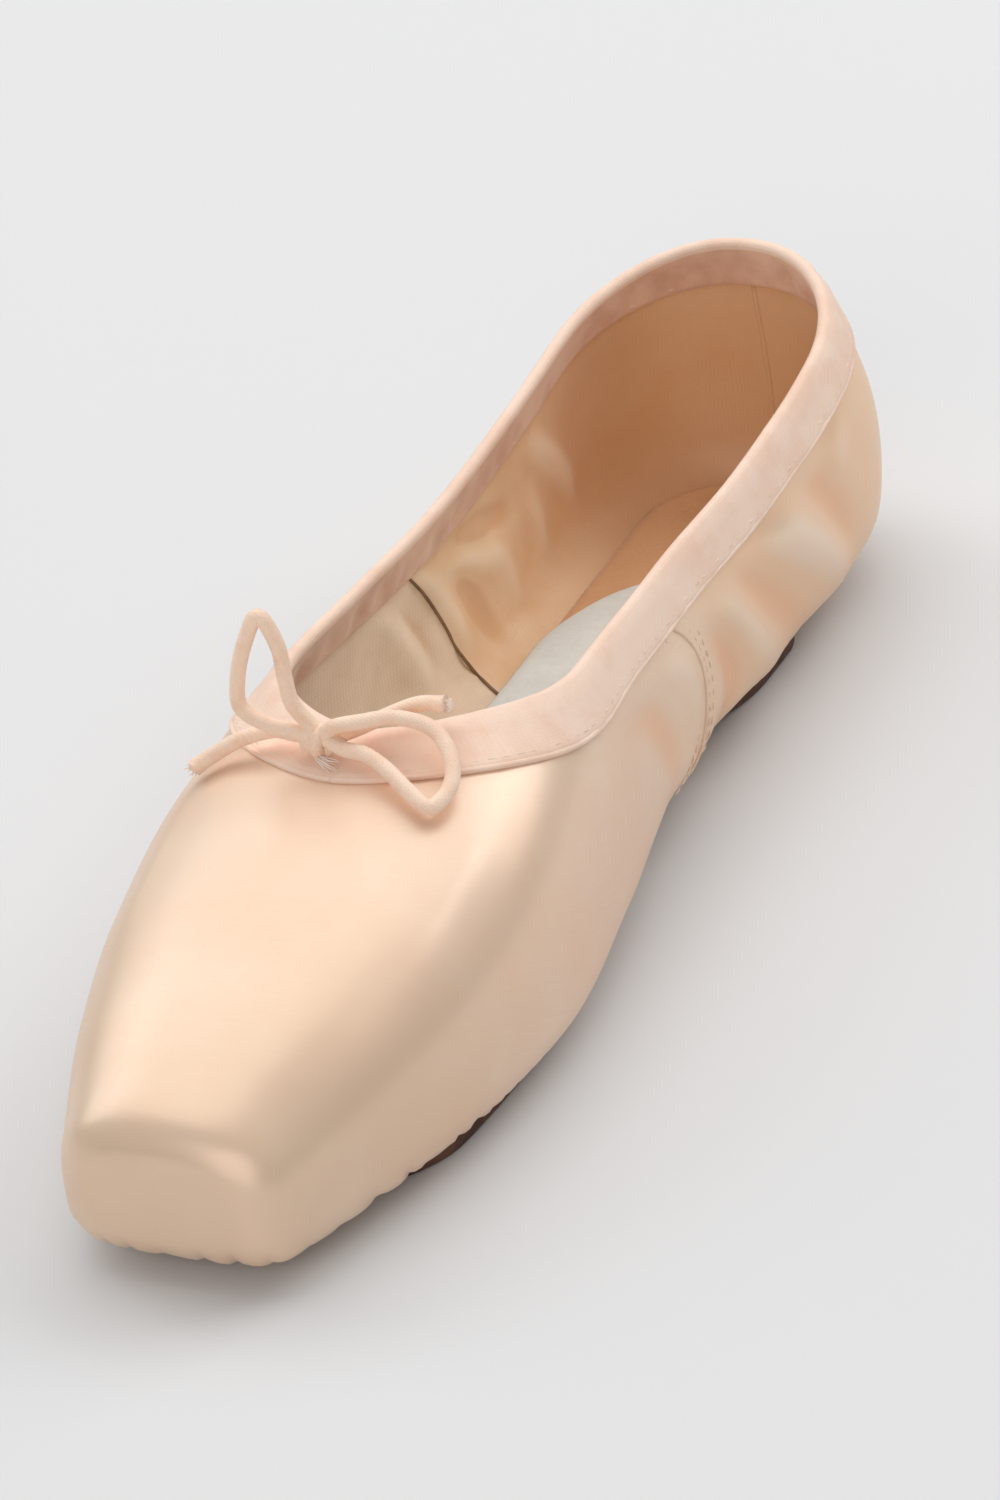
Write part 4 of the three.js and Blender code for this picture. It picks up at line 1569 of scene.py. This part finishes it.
@dataclass
class Lining:
    """The inside: canvas in the vamp, softer cloth in the quarters, and their seams."""

    last: Last
    skin: Skin
    maker: MeshMaker
    satin: SatinUpper
    canvas: LiningFinish = LiningFinish("lining_canvas", (0.92, 0.745, 0.57), (0.79, 0.60, 0.44))
    quarter: LiningFinish = LiningFinish(
        "lining_quarter", (0.93, 0.70, 0.465), (0.84, 0.55, 0.32), 0.36, weave=0.7)
    rows: int = 64
    measured_row: int = 20
    back_seam_rows: tuple[int, int] = (4, 46)
    least_wall: float = 0.65
    seam: tuple[tuple[float, float], ...] = (
        (137.5, 42.0), (144.0, 36.5), (151.0, 27.0), (156.2, 17.5), (157.8, 11.5))
    seam_foot: tuple[tuple[float, float], ...] = (
        (22.4, 158.0), (21.5, 157.7), (20.4, 157.2), (18.6, 156.2), (16.6, 155.0))
    folds: tuple[Fold, ...] = (
        Fold(Face.FAR_WALL, ((146, 38), (156, 25), (161.5, 15), (162, 9)), 2.6, 0.9),
        Fold(Face.FAR_WALL, ((160, 28), (164.5, 22.5), (169, 14), (171, 7)), 3.2, -1.0),
        Fold(Face.FAR_WALL, ((160, 33), (173.5, 29), (185.5, 25)), 3.2, -1.0),
        Fold(Face.FAR_WALL, ((156, 31), (166, 26.5), (178, 20)), 3.0, 1.2),
        Fold(Face.FAR_WALL, ((176, 24), (180, 15), (180, 8)), 3.4, 0.9),
        Fold(Face.FAR_WALL, ((192, 34), (198.5, 29), (206, 20.5), (208, 14)), 3.4, 1.4),
        Fold(Face.FAR_WALL, ((190, 26), (194.5, 17.5), (193, 10)), 2.8, 0.8),
        Fold(Face.FAR_WALL, ((132, 38), (139, 28), (145, 17), (147, 10)), 3.2, 1.3),
        Fold(Face.FAR_WALL, ((138, 35), (147, 23), (151, 14)), 1.8, -0.7),
        Fold(Face.FAR_WALL, ((140, 41), (146, 36.5), (153, 27), (158.5, 17.5), (160, 10)), 1.5, 0.55),
        Fold(Face.NEAR_WALL, ((140, 41), (146, 36.5), (153, 27), (158.5, 17.5), (160, 10)), 1.5, 0.55),
        Fold(Face.NEAR_WALL, ((156, 33), (164, 22), (167, 13)), 3.4, 0.9),
        Fold(Face.NEAR_WALL, ((170, 37), (180, 29), (190, 18)), 4.0, 0.8),
    )

    def inward(self, outer: Array, below: Array) -> Array:
        """Distance of the lining from the shoe's outside.

        Args:
            outer: points of the outside.
            below: their distances below the collar's edge.

        Returns:
            The distances: the wall with the lining's own folds.
        """
        folds = self.creases(outer) * smoothstep(below, 5.0, 12.0)
        wall = self.last.edge_wall(outer[..., 1], below) - 0.05
        return np.maximum(wall + folds, self.least_wall - self.satin.creases(outer, below))

    def creases(self, outer: Array) -> Array:
        """Heights of the lining's folds, into the shoe.

        Args:
            outer: points of the outside.

        Returns:
            The heights.
        """
        return np.maximum(sum(fold.relief(outer, self.last) for fold in self.folds), -0.9)

    def build(self, seam_material: bpy.types.Material) -> list[bpy.types.Object]:
        """Makes the lining and its seams.

        Args:
            seam_material: the finish of the seams' dark line, painted shadow along the seam.

        Returns:
            The pieces.
        """
        count = len(self.skin.points)
        distance = self.skin.spread(np.zeros(count), self.skin.length, self.rows, 0.2)
        outer = self.skin.at(distance)
        normals = self.skin.normals(outer)
        points = outer - normals * self.inward(outer, distance)[..., None]
        uv = self.skin.cloth_places(points, distance, self.measured_row)
        lining = self.maker.grid("lining", points[:, ::-1], uv[:, ::-1], round_closed=True)
        self.maker.note_creases(lining, self.creases(outer)[:, ::-1])
        seam = np.asarray(self.seam)
        middles = np.array([p.center[:] for p in lining.data.polygons]) / MM
        split = np.interp(middles[:, 2], seam[::-1, 1], seam[::-1, 0]) - self.maker.middle
        finishes = (self.canvas.material(), self.quarter.material())
        self.maker.finish_faces(lining, finishes, middles[:, 1] > split)
        pieces = [dress(lining, lining.data.materials[0], "satin")]
        line = smooth_line(self.seam, 60)
        for side in Side:
            wall, outward = self.last.on_wall(line, side)
            below = np.maximum(self.last.curves["collar"](line[:, 0]) - line[:, 1], 0)
            path = wall - outward * (self.inward(wall, below) + 0.1)[:, None]
            foot = np.asarray(self.seam_foot)
            floor = self.last.inner_floor(foot[:, 0], foot[:, 1]) + 0.15
            tail = np.stack([side.value * foot[:, 0], foot[:, 1], floor], axis=1)
            path = smooth_line(np.vstack([path[::6], tail]), 60)
            # The seam's dark line is painted shadow.
            thread = self.maker.tube(f"lining_seam_{side.name.lower()}", path, np.full(60, 0.3), 8)
            pieces.append(dress(thread, seam_material, "satin"))
        middle = int(np.argmax(outer[:, 0, 1]))
        rows = slice(*self.back_seam_rows)
        back = points[middle, rows] + normals[middle, rows] * 0.15
        ridge = self.maker.tube("lining_back_seam", back, np.full(len(back), 0.5), 8)
        pieces.append(dress(ridge, lining.data.materials[1], "satin"))
        return pieces


@dataclass
class CollarTape:
    """The tape folded over the collar, with the drawstring's bead and its stitches."""

    last: Last
    skin: Skin
    maker: MeshMaker
    finish: TapeFinish = TapeFinish()
    # The inside leg is the same tape in darker colours: painted shade inside the shoe.
    shaded_inside_finish: TapeFinish = TapeFinish(
        "tape_inside", "tape", (0.85, 0.56, 0.405), (0.70, 0.405, 0.275))
    inside_start: int = 18
    inside_end: int = 29
    throat_depth: float = 9.5
    side_depth: float = 6.5
    tape: float = 0.75
    bead_rise: float = 2.2
    bead_swell: float = 0.85
    roll_radius: float = 0.5
    stitch_pitch: float = 2.4
    stitch_inset: float = 1.3

    def depth(self) -> Array:
        """Works out how deep the tape reaches below the collar's edge.

        Returns:
            The depth for each cut.
        """
        along = self.skin.points[:, 0, 1]
        last = self.last
        share = smoothstep(along, last.throat_centre - last.throat_depth, last.throat_centre + 14)
        return self.throat_depth + (self.side_depth - self.throat_depth) * share

    def section(self, depth: Array) -> tuple[Array, Array, Array]:
        """Lays out the tape's closed section for each cut.

        Args:
            depth: the tape's depth for each cut.

        Returns:
            For each point: its distance below the edge, how far out it lies, and whether inside.
        """
        leg = np.array([1.0, 0.985, 0.95, 0.85, 0.7, 0.55, 0.4, 0.25, 0.12])
        edge = np.array([0.35, 0.85, 1.08, 1.0, 1.0, 1.0, 1.02, 1.1, 1.3]) * self.tape
        angle = np.linspace(0, math.pi, 13)[1:-1]
        below = [depth[:, None] * leg[None, :]]
        out = [np.repeat(edge[None, :], len(depth), axis=0)]
        inner = [np.zeros((len(depth), len(leg)))]
        below.append(np.repeat((0.3 - (self.bead_rise + 0.3) * np.sin(angle))[None, :], len(depth), axis=0))
        swell = self.bead_swell * np.abs(np.cos(angle)) ** 0.8
        out.append(np.repeat(swell[None, :], len(depth), axis=0))
        inner.append(np.repeat(smoothstep(angle, 0.9, math.pi - 0.9)[None, :], len(depth), axis=0))
        for part, turned in ((below, below[0]), (out, out[0])):
            part.append(turned[:, ::-1])
        inner.append(np.ones((len(depth), len(leg))))
        hidden = np.array([0.9, 0.2])
        for shares, place in ((hidden, 1.0), (hidden[::-1], 0.0)):
            below.append(depth[:, None] * shares[None, :])
            out.append(np.full((len(depth), 2), 0.05))
            inner.append(np.full((len(depth), 2), place))
        return np.hstack(below), np.hstack(out), np.hstack(inner)

    def build(self, thread: bpy.types.Material) -> list[bpy.types.Object]:
        """A soft ridge or trough, placed on the upper.

        Args:
            thread: the stitches' finish.

        Returns:
            The pieces.
        """
        depth = self.depth()
        below, out, inner = self.section(depth)
        points = self.skin.at(below)
        reference = self.skin.at(np.linspace(0, 1, 5)[None, :] * depth[:, None])
        normal = unit(self.skin.normals(reference).mean(axis=1))
        edge = self.skin.points[:, 0]
        run = run_along(edge)
        low = np.clip(below / depth[:, None], 0, 1)
        tuck = waver(run, 11, 9.0)[:, None] * 0.10 * low + waver(run, 12, 5.0)[:, None] * 0.05
        inside_tuck = (0.5 + 0.5 * waver(run, 14, 5.5))[:, None] * 0.7
        inside_tuck = inside_tuck * smoothstep(low, 0.05, 0.4) * smoothstep(low, 1.0, 0.75)
        wall = self.last.edge_wall(points[..., 1], below)
        push = (1 - inner) * (out + np.where(out > 0.1, tuck, 0))
        pull = inner * (wall + out + np.where(out > 0.1, inside_tuck, 0))
        grid = points + normal[:, None, :] * (push - pull)[..., None]
        total = run[-1] + np.linalg.norm(edge[0] - edge[-1])
        columns = run_along(np.vstack([grid[0], grid[0][:1]]))
        uv = lattice(np.r_[run, total], columns)
        tape = self.maker.grid("collar_tape", grid, uv, round_closed=True, down_closed=True)
        column = np.arange(len(tape.data.polygons)) % grid.shape[1]
        inside = (column >= self.inside_start) & (column <= self.inside_end)
        # The inside leg gets the darker copy of the tape, as painted shade.
        finishes = (self.finish.material(), self.shaded_inside_finish.material())
        self.maker.finish_faces(tape, finishes, inside)
        pieces = [dress(tape, tape.data.materials[0], self.finish.slot, "collar_binding")]
        rim = self.skin.at(depth[:, None])[:, 0] + normal * 0.4
        rim = np.vstack([rim, rim[:1]])
        roll = self.maker.tube("collar_tape_roll", rim, np.full(len(rim), self.roll_radius), 8)
        pieces.append(dress(roll, tape.data.materials[0], "tape"))
        for name, sign in (("outer", 1.0), ("inner", -1.0)):
            place = self.skin.at((depth - self.stitch_inset)[:, None])[:, 0]
            wall_here = self.last.edge_wall(place[:, 1], depth - self.stitch_inset)
            gap = 0.92 * self.tape if sign > 0 else -(wall_here + self.tape)
            line = place + normal * np.reshape(gap, (-1, 1) if np.ndim(gap) else (1, 1))
            loop = np.vstack([np.hstack([line, normal * sign]), np.hstack([line[:1], normal[:1] * sign])])
            count = int(total / self.stitch_pitch)
            spots = resample(loop, 2 * count + 1, 3)[1::2]
            tangent = unit(np.gradient(spots[:, :3], axis=0))
            up = unit(spots[:, 3:])
            row = self.maker.threads(f"collar_stitches_{name}", spots[:, :3], tangent, up, 1.6, 0.16)
            pieces.append(dress(row, thread, "tape"))
        return pieces


@dataclass
class HeelStrip:
    """The satin strip over the back seam, with its two corded edges."""

    last: Last
    maker: MeshMaker
    material: bpy.types.Material
    width: float = 12.0
    start: float = 5.8
    lift: float = 0.75
    cord_radius: float = 0.5
    columns: int = 29
    rows: int = 130

    def build(self) -> list[bpy.types.Object]:
        """Makes the strip and its edges.

        Returns:
            The pieces.
        """
        x = np.linspace(-self.width / 2, self.width / 2, self.columns)
        ones = np.ones(self.columns)
        cuts = self.last.cuts(x, self.last.heel_centre * ones, 0 * ones, ones, -0.4, 220)
        skin = Skin(cuts[::-1], closed=False)
        distance = skin.spread(self.start * ones, skin.length, self.rows, 0.2)
        base = skin.at(distance)
        normal = skin.normals(base)
        share = np.abs(np.linspace(-1, 1, self.columns))[:, None]
        crown = self.lift * (1 - 0.75 * smoothstep(share, 0.9, 1.0))
        run = distance - distance[:, :1]
        crown = crown + 0.10 * waver(run, 21, 12.0) * (1 - share)
        top = base + normal * crown[..., None]
        under = base + normal * 0.02
        ring = np.concatenate([top, under[::-1]], axis=0)
        grid = np.swapaxes(ring, 0, 1)
        uv = lattice(distance[0], np.arange(2 * self.columns + 1) * 0.43)
        strip = self.maker.grid("heel_strip_satin", grid, uv, down_closed=True)
        pieces = [dress(strip, self.material, "satin", "heel_strip")]
        for name, column in (("near", 0), ("far", self.columns - 1)):
            path = base[column] + normal[column] * 0.35
            edge = self.maker.tube(f"heel_strip_edge_{name}", path, np.full(self.rows, self.cord_radius), 8)
            pieces.append(dress(edge, self.material, "satin"))
        return pieces


@dataclass
class LeatherSole:
    """The one-piece leather sole with its bevelled edge in dark brown: partly the cut leather's own tone,
    partly painted shade in the gap under the satin.
    """

    last: Last
    maker: MeshMaker
    finish: LeatherFinish = LeatherFinish()
    # The dark brown edge is the cut leather's own tone with painted shade added.
    edge_tone_and_shade_finish: PlainFinish = PlainFinish(
        "sole_edge", "sole_leather", (0.15, 0.07, 0.04), (0.07, 0.03, 0.018), 0.6)
    stations: int = 220
    columns: int = 33
    rim_columns: int = 6
    bevel: float = 0.9
    seat: float = 0.12

    def build(self) -> list[bpy.types.Object]:
        """Makes the sole.

        Returns:
            The pieces.
        """
        share = (1 - np.cos(math.pi * np.linspace(0, 1, self.stations))) / 2
        even = np.linspace(0, 1, self.stations)
        along = self.last.sole_front + 0.06 + (0.6 * share + 0.4 * even) * (
            self.last.sole_rear - self.last.sole_front - 0.12)
        half = self.last.sole_half(along)
        under = self.last.curves["sole_under"](along)
        across = np.linspace(-1, 1, self.columns)
        bevel = np.minimum(self.bevel, 0.3 * half)
        rim = np.array([0.0, 0.35, 0.7, 0.9, 1.0])
        rows = []
        for k, place in enumerate(along):
            inner = half[k] - bevel[k]
            flat = np.ones(self.columns)
            low = np.stack([across * inner, place * flat, under[k] * flat], axis=1)
            top_edge = self.last.lower_face(np.array([half[k]]), np.array([place]))[0] - self.seat
            lift = bevel[k] * (1 - np.sqrt(np.maximum(1 - rim**2, 0)))
            side_x = inner + bevel[k] * rim
            near = np.stack([side_x[1:], np.full(4, place), under[k] + lift[1:]], axis=1)
            wall = np.stack([np.full(2, half[k]), np.full(2, place),
                             np.array([0.5 * (under[k] + bevel[k] + top_edge), top_edge])], axis=1)
            edge = np.vstack([near, wall])
            mirror = edge[::-1] * np.array([-1, 1, 1])
            top_x = across[::-4] * half[k] * 0.985
            top_along = np.full(len(top_x), place)
            top_z = self.last.lower_face(top_x, top_along) - self.seat
            top = np.stack([top_x, top_along, top_z], axis=1)
            rows.append(np.vstack([low, edge, top, mirror]))
        grid = np.array(rows)
        size = grid.shape[1]
        uv = lattice(along, np.arange(size + 1) * 1.7)
        sole = self.maker.grid("leather_sole", grid, uv, down_closed=True)
        column = np.arange(len(sole.data.polygons)) % size
        near_rim = (column >= self.columns) & (column <= self.columns + self.rim_columns)
        finishes = (self.finish.material(), self.edge_tone_and_shade_finish.material())
        # The rim faces take the dark edge finish, which is partly painted shade.
        self.maker.finish_faces(sole, finishes, near_rim | (column >= size - self.rim_columns))
        return [dress(sole, sole.data.materials[0], self.finish.slot, "outsole")]


@dataclass
class Sock:
    """The insole board in its lining cloth, and the pale sock that lies on it."""

    last: Last
    maker: MeshMaker
    finish: PlainFinish = PlainFinish(
        "sock", "sock", (0.80, 0.83, 0.80), (0.70, 0.73, 0.70), 0.85, 0.05, 1.2, 0.08, 0.25)
    board_finish: PlainFinish = PlainFinish(
        "insole_cloth", "sock", (0.72, 0.42, 0.22), (0.64, 0.35, 0.17), 0.7, 0.05, 1.2, 0.08, 0.2)
    front: float = 9.0
    board_rear: float = 229.0
    board_round: float = 12.0
    sock_rear: float = 197.0
    sock_round: float = 28.0
    sock_over: float = 0.9
    thickness: float = 2.4
    sock_thickness: float = 0.5
    stations: int = 150
    columns: int = 37
    outline: Table = Table(
        ("along", "half"),
        ((9, 13.0), (30, 22.0), (62, 25.5), (90, 22.0), (118, 16.8), (150, 15.6), (185, 17.6),
         (210, 17.8), (229, 15.0)),
    )

    def layer(self, name: str, rear: float, rounding: float, over: float, base: float,
              rise: float) -> bpy.types.Object:
        """Makes one layer over the shoe's floor.

        Args:
            name: the piece's name.
            rear: where it ends at the heel.
            rounding: length over which its end is rounded.
            over: how far it reaches past the board's outline.
            base: thickness of what lies under it.
            rise: its own thickness.

        Returns:
            The layer.
        """
        last = self.last
        along = np.linspace(self.front, rear, self.stations)
        wall = last.wall(along)
        side = last.half_width(along, last.curves["bottom"](along) + wall + 3.5) - wall
        nose = np.sqrt(1 - (1 - np.clip((along - self.front + 0.5) / 6, 0, 1)) ** 2)
        tail = np.sqrt(1 - (1 - np.clip((rear + 0.5 - along) / rounding, 0, 1)) ** 2)
        half = np.minimum(0.94 * side, self.outline.curve("half")(along)) + over
        share = np.linspace(-1, 1, self.columns)
        x = (half * np.maximum(nose * tail, 0.2))[:, None] * share[None, :]
        place = np.repeat(along[:, None], self.columns, axis=1)
        floor = last.inner_floor(x, place) + 0.25
        edge = (0.35 + 0.65 * (1 - smoothstep(np.abs(share), 0.90, 1.0)))[None, :]
        worn = 0.25 * waver(place + x, 31, 30.0) * (1 - np.abs(share))[None, :]
        under = np.stack([x, place, floor + base * edge], axis=-1)
        top = np.stack([x, place, floor + (base + rise) * edge + worn], axis=-1)
        grid = np.concatenate([top, under[:, ::-1]], axis=1)
        uv = lattice(along, np.arange(2 * self.columns + 1) * 1.5)
        return self.maker.grid(name, grid, uv, down_closed=True)

    def build(self) -> list[bpy.types.Object]:
        """Makes the board and the sock.

        Returns:
            The pieces.
        """
        board = self.layer("insole_board", self.board_rear, self.board_round, 0.0, 0.0, self.thickness)
        sock = self.layer("sock", self.sock_rear, self.sock_round, self.sock_over, self.thickness,
                          self.sock_thickness)
        return [dress(board, self.board_finish.material(), self.board_finish.slot, "insole"),
                dress(sock, self.finish.material(), self.finish.slot)]


@dataclass
class Drawstring:
    """The cord tied in a bow at the throat."""

    maker: MeshMaker
    finish: CordFinish = CordFinish()
    diameter: float = 2.5
    knot: Point = (-3.2, -47.2, 51.5)
    loop_left: tuple[Point, ...] = (
        (-3.6, -1.1, 1.7), (-7.6, -1.8, 2.9), (-11.2, -2.4, 5.8), (-10.8, -2.4, 11.0), (-8.8, -2.2, 17.0),
        (-5.8, -1.7, 22.2), (-3.6, -1.2, 17.0), (-3.4, -1.0, 11.0), (-3.0, -0.8, 6.5), (-1.0, -0.4, 3.1))
    loop_right: tuple[Point, ...] = (
        (3.3, -0.3, 2.8), (6.8, 1.6, 3.0), (11.6, 4.2, 2.8), (17.0, 5.0, 1.2), (21.0, 2.4, -1.4),
        (22.8, -2.0, -4.0), (21.4, -6.8, -5.2), (17.6, -5.6, -3.8), (12.6, -3.0, -1.8), (8.4, -1.4, -0.7),
        (4.7, -0.9, -0.6))
    end_left: tuple[Point, ...] = (
        (-4.2, 1.2, -0.4), (-8.6, 1.8, -0.6), (-13.8, 0.4, -2.0), (-18.8, -0.4, -5.0), (-21.6, -1.9, -6.8))
    end_right: tuple[Point, ...] = ((3.4, 2.1, 0.2), (8.2, 6.2, 1.2), (13.0, 9.2, 2.4), (17.5, 9.8, 2.6))
    exit_left: Point = (-1.6, 0.6, -2.2)
    exit_right: Point = (1.6, 0.6, -2.2)
    wraps: float = 1.75
    wrap_radius: float = 1.75
    wrap_pitch: float = 2.2

    def route(self, points: Sequence[Point]) -> Array:
        """Measures points of the bow from the toe.

        Args:
            points: points measured from the knot.

        Returns:
            The points in the last's measures.
        """
        return np.asarray(points, float) + np.asarray(self.knot) + np.array([0, self.maker.middle, 0])

    def string(self, exit_point: Point, loop: Sequence[Point], end: Sequence[Point]) -> Array:
        """Draws one half of the drawstring, from the tape through its loop to its free end.

        Args:
            exit_point: where it leaves the tape.
            loop: the loop's route.
            end: the free end's route.

        Returns:
            The centre line's points.
        """
        lean = 0.35 if loop[0][0] > 0 else -0.35
        inside = [(lean, 0.2, -0.6), (2 * lean, -0.2, 0.6)]
        back = [(0.0, 0.0, 0.9), (-lean, 0.7, 0.2)]
        return smooth_line(self.route([exit_point, *inside, *loop, *back, *end]), 150)

    def knot_line(self) -> Array:
        """Draws the turns that hold the bow together.

        Returns:
            The centre line's points.
        """
        angle = np.linspace(-0.4, 2 * math.pi * self.wraps - 0.4, 70)
        share = np.linspace(-0.5, 0.5, 70)
        radius = self.wrap_radius + 0.25 * np.sin(angle * 0.5)
        line = np.stack([share * self.wrap_pitch * self.wraps * 0.62, -radius * np.cos(angle) * 0.95,
                         radius * np.sin(angle) * 0.95], axis=1)
        return self.route([tuple(p) for p in line])

    def frayed(self, name: str, tip: Array, heading: Array, seed: int, count: int, length: float,
               spread: float) -> bpy.types.Object:
        """Makes loose fibres at a cut end.

        Args:
            name: the piece's name.
            tip: where they start.
            heading: the way that they point.
            seed: picks their spread.
            count: how many fibres.
            length: their length.
            spread: how far apart they lean.

        Returns:
            The piece.
        """
        rng = np.random.default_rng(seed)
        lean = rng.normal(size=(count, 3)) * spread
        along = unit(heading[None, :] + lean)
        size = length * rng.uniform(0.6, 1.2, count)
        start = tip[None, :] + rng.normal(size=(count, 3)) * 0.42
        middles = start + along * size[:, None] * 0.5
        up = unit(np.cross(along, rng.normal(size=(count, 3))))
        return self.maker.threads(name, middles, along, up, length, 0.07)

    def build(self, fibre: bpy.types.Material) -> list[bpy.types.Object]:
        """Makes the bow.

        Args:
            fibre: the finish of loose fibres.

        Returns:
            The pieces.
        """
        material = self.finish.material()
        radius = self.diameter / 2
        turns = self.knot_line()
        knot = self.maker.tube("bow_knot", turns, np.full(len(turns), 0.92 * radius), 14)
        dress(knot, material, self.finish.slot, "drawstring_knot")
        pieces = [knot]
        halves = (
            ("left", self.exit_left, self.loop_left, self.end_left),
            ("right", self.exit_right, self.loop_right, self.end_right),
        )
        for name, exit_point, loop, end in halves:
            path = self.string(exit_point, loop, end)
            size = np.full(len(path), radius)
            size[-4:] *= np.array([1.0, 1.03, 1.08, 1.12])
            cord = self.maker.tube(f"drawstring_{name}", path, size, 14)
            dress(cord, material, self.finish.slot, f"drawstring_loop_{name}", f"drawstring_end_{name}")
            outward = unit(path[-1] - path[-6])
            fray = self.frayed(f"frayed_end_{name}", path[-1], outward, 40 + len(name), 46, 0.8, 0.4)
            dress(fray, fibre, self.finish.slot)
            placed = self.maker.place(path)
            pieces += [cord, fray]
        below = self.route([(0.8, -2.2, -2.3)])[0]
        tuft = self.frayed("slit_fibres", below, np.array([0.95, -0.2, -0.2]), 57, 18, 3.0, 0.22)
        pieces.append(dress(tuft, fibre, self.finish.slot))
        return pieces


@dataclass
class Studio:
    """Floor, light and camera at the photo's angle to the shoe."""

    camera_place: Point = (0.464, -0.8266, 0.587)
    aim: Point = (0.002, -0.001, 0.022)
    roll: float = -9.0
    lens: float = 166.0
    sensor: float = 36.0
    floor_colour: Colour = (0.72, 0.72, 0.725)
    lights: tuple[tuple[str, Point, Point, float, float], ...] = (
        ("key", (-0.45, 0.5, 1.45), (0.0, 0.0, 0.02), 1.7, 13.5),
        ("side", (-1.3, 0.2, 0.8), (0.0, 0.0, 0.03), 0.8, 4.0),
        ("back", (0.7, 0.9, 1.0), (0.0, 0.0, 0.03), 1.0, 9.0),
        ("front", (0.25, -1.2, 0.5), (0.0, -0.05, 0.02), 1.0, 5.5),
    )
    sky: tuple[tuple[float, float], ...] = ((0.0, 0.28), (0.25, 0.32), (0.6, 0.75), (1.0, 1.0))
    world_light: float = 0.45

    @staticmethod
    def looking(place: Vector, target: Vector, roll: float) -> Matrix:
        """Points a camera or a light at a target.

        Args:
            place: where it stands.
            target: what it points at.
            roll: its turn about the line of sight, in degrees.

        Returns:
            Its matrix.
        """
        back = (place - target).normalized()
        right = Vector((0, 0, 1)).cross(back).normalized()
        up = back.cross(right)
        turn = math.radians(roll)
        x = right * math.cos(turn) + up * math.sin(turn)
        y = up * math.cos(turn) - right * math.sin(turn)
        matrix = Matrix((x, y, back)).transposed().to_4x4()
        matrix.translation = place
        return matrix

    def camera(self) -> bpy.types.Object:
        """Makes the camera.

        Returns:
            The camera, set as the scene's own.
        """
        data = bpy.data.cameras.new("camera")
        data.sensor_fit = "VERTICAL"
        data.sensor_height = self.sensor
        data.lens = self.lens
        data.clip_start = 0.05
        camera = put("camera", data)
        camera.matrix_world = self.looking(Vector(self.camera_place), Vector(self.aim), self.roll)
        bpy.context.scene.camera = camera
        return camera

    def light(self) -> None:
        """Hangs the soft lights and sets the room's own light."""
        for name, place, target, size, power in self.lights:
            data = bpy.data.lights.new(name, "AREA")
            data.shape = "SQUARE"
            data.size = size
            data.energy = power
            lamp = put(name, data)
            lamp.matrix_world = self.looking(Vector(place), Vector(target), 0.0)
        world = bpy.context.scene.world or bpy.data.worlds.new("room")
        bpy.context.scene.world = world
        world.use_nodes = True
        background = world.node_tree.nodes["Background"]
        background.inputs["Strength"].default_value = self.world_light
        tree = world.node_tree
        split = tree.nodes.new("ShaderNodeSeparateXYZ")
        tree.links.new(tree.nodes.new("ShaderNodeTexCoord").outputs["Generated"], split.inputs[0])
        ramp = tree.nodes.new("ShaderNodeValToRGB")
        while len(ramp.color_ramp.elements) < len(self.sky):
            ramp.color_ramp.elements.new(0.5)
        for stop, (height, grey) in zip(ramp.color_ramp.elements, self.sky):
            stop.position = height
            stop.color = (grey, grey, grey, 1.0)
        tree.links.new(split.outputs[2], ramp.inputs[0])
        tree.links.new(ramp.outputs[0], background.inputs["Color"])
        bpy.context.scene.view_settings.view_transform = "Standard"

    def floor(self) -> bpy.types.Object:
        """Makes the pale floor.

        Returns:
            The floor.
        """
        data = bpy.data.meshes.new("floor")
        data.from_pydata([(-4, -4, 0), (4, -4, 0), (4, 4, 0), (-4, 4, 0)], [], [(0, 1, 2, 3)])
        floor = put("floor", data)
        nodes = Nodes("floor")
        nodes.set(Base_Color=(*self.floor_colour, 1.0), Roughness=0.6, Specular_IOR_Level=0.3)
        data.materials.append(nodes.material)
        return floor


@dataclass
class PointeShoe:
    """The whole shoe, made piece by piece on its last."""

    last: Last = field(default_factory=Last)
    half_cuts: int = 240
    cut_steps: int = 260

    def build(self) -> list[bpy.types.Object]:
        """Makes every piece in order.

        Returns:
            The pieces.
        """
        maker = MeshMaker(self.last.middle)
        fibre = PlainFinish("loose_fibre", "cord", (0.97, 0.87, 0.78), (0.92, 0.76, 0.64), 0.8).material()
        pieces = Drawstring(maker).build(fibre)
        skin = Skin.round_the_shoe(self.last, self.half_cuts, self.cut_steps)
        thread = PlainFinish("thread", "satin", (0.88, 0.70, 0.56), (0.78, 0.57, 0.43), 0.55).material()
        seam = PlainFinish("seam_shadow", "satin", (0.30, 0.18, 0.11), (0.20, 0.11, 0.06), 0.8).material()
        upper = SatinUpper(self.last, skin, maker)
        pieces += upper.build()
        satin = bpy.data.materials[upper.finish.name]
        pieces += SideSeams(self.last, maker, satin, thread).build()
        pieces += Lining(self.last, skin, maker, upper).build(seam)
        pieces += CollarTape(self.last, skin, maker).build(thread)
        pieces += HeelStrip(self.last, maker, satin).build()
        pieces += LeatherSole(self.last, maker).build()
        pieces += Sock(self.last, maker).build()
        return pieces


def main() -> None:
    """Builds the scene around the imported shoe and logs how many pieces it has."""
    logging.basicConfig(level=logging.INFO, format="%(name)s: %(message)s")
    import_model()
    studio = Studio()
    studio.camera()
    pieces = PointeShoe().build()
    studio.floor()
    studio.light()
    bpy.context.view_layer.update()
    LOG.info("%d pieces", len(pieces))


if __name__ == "__main__":
    main()
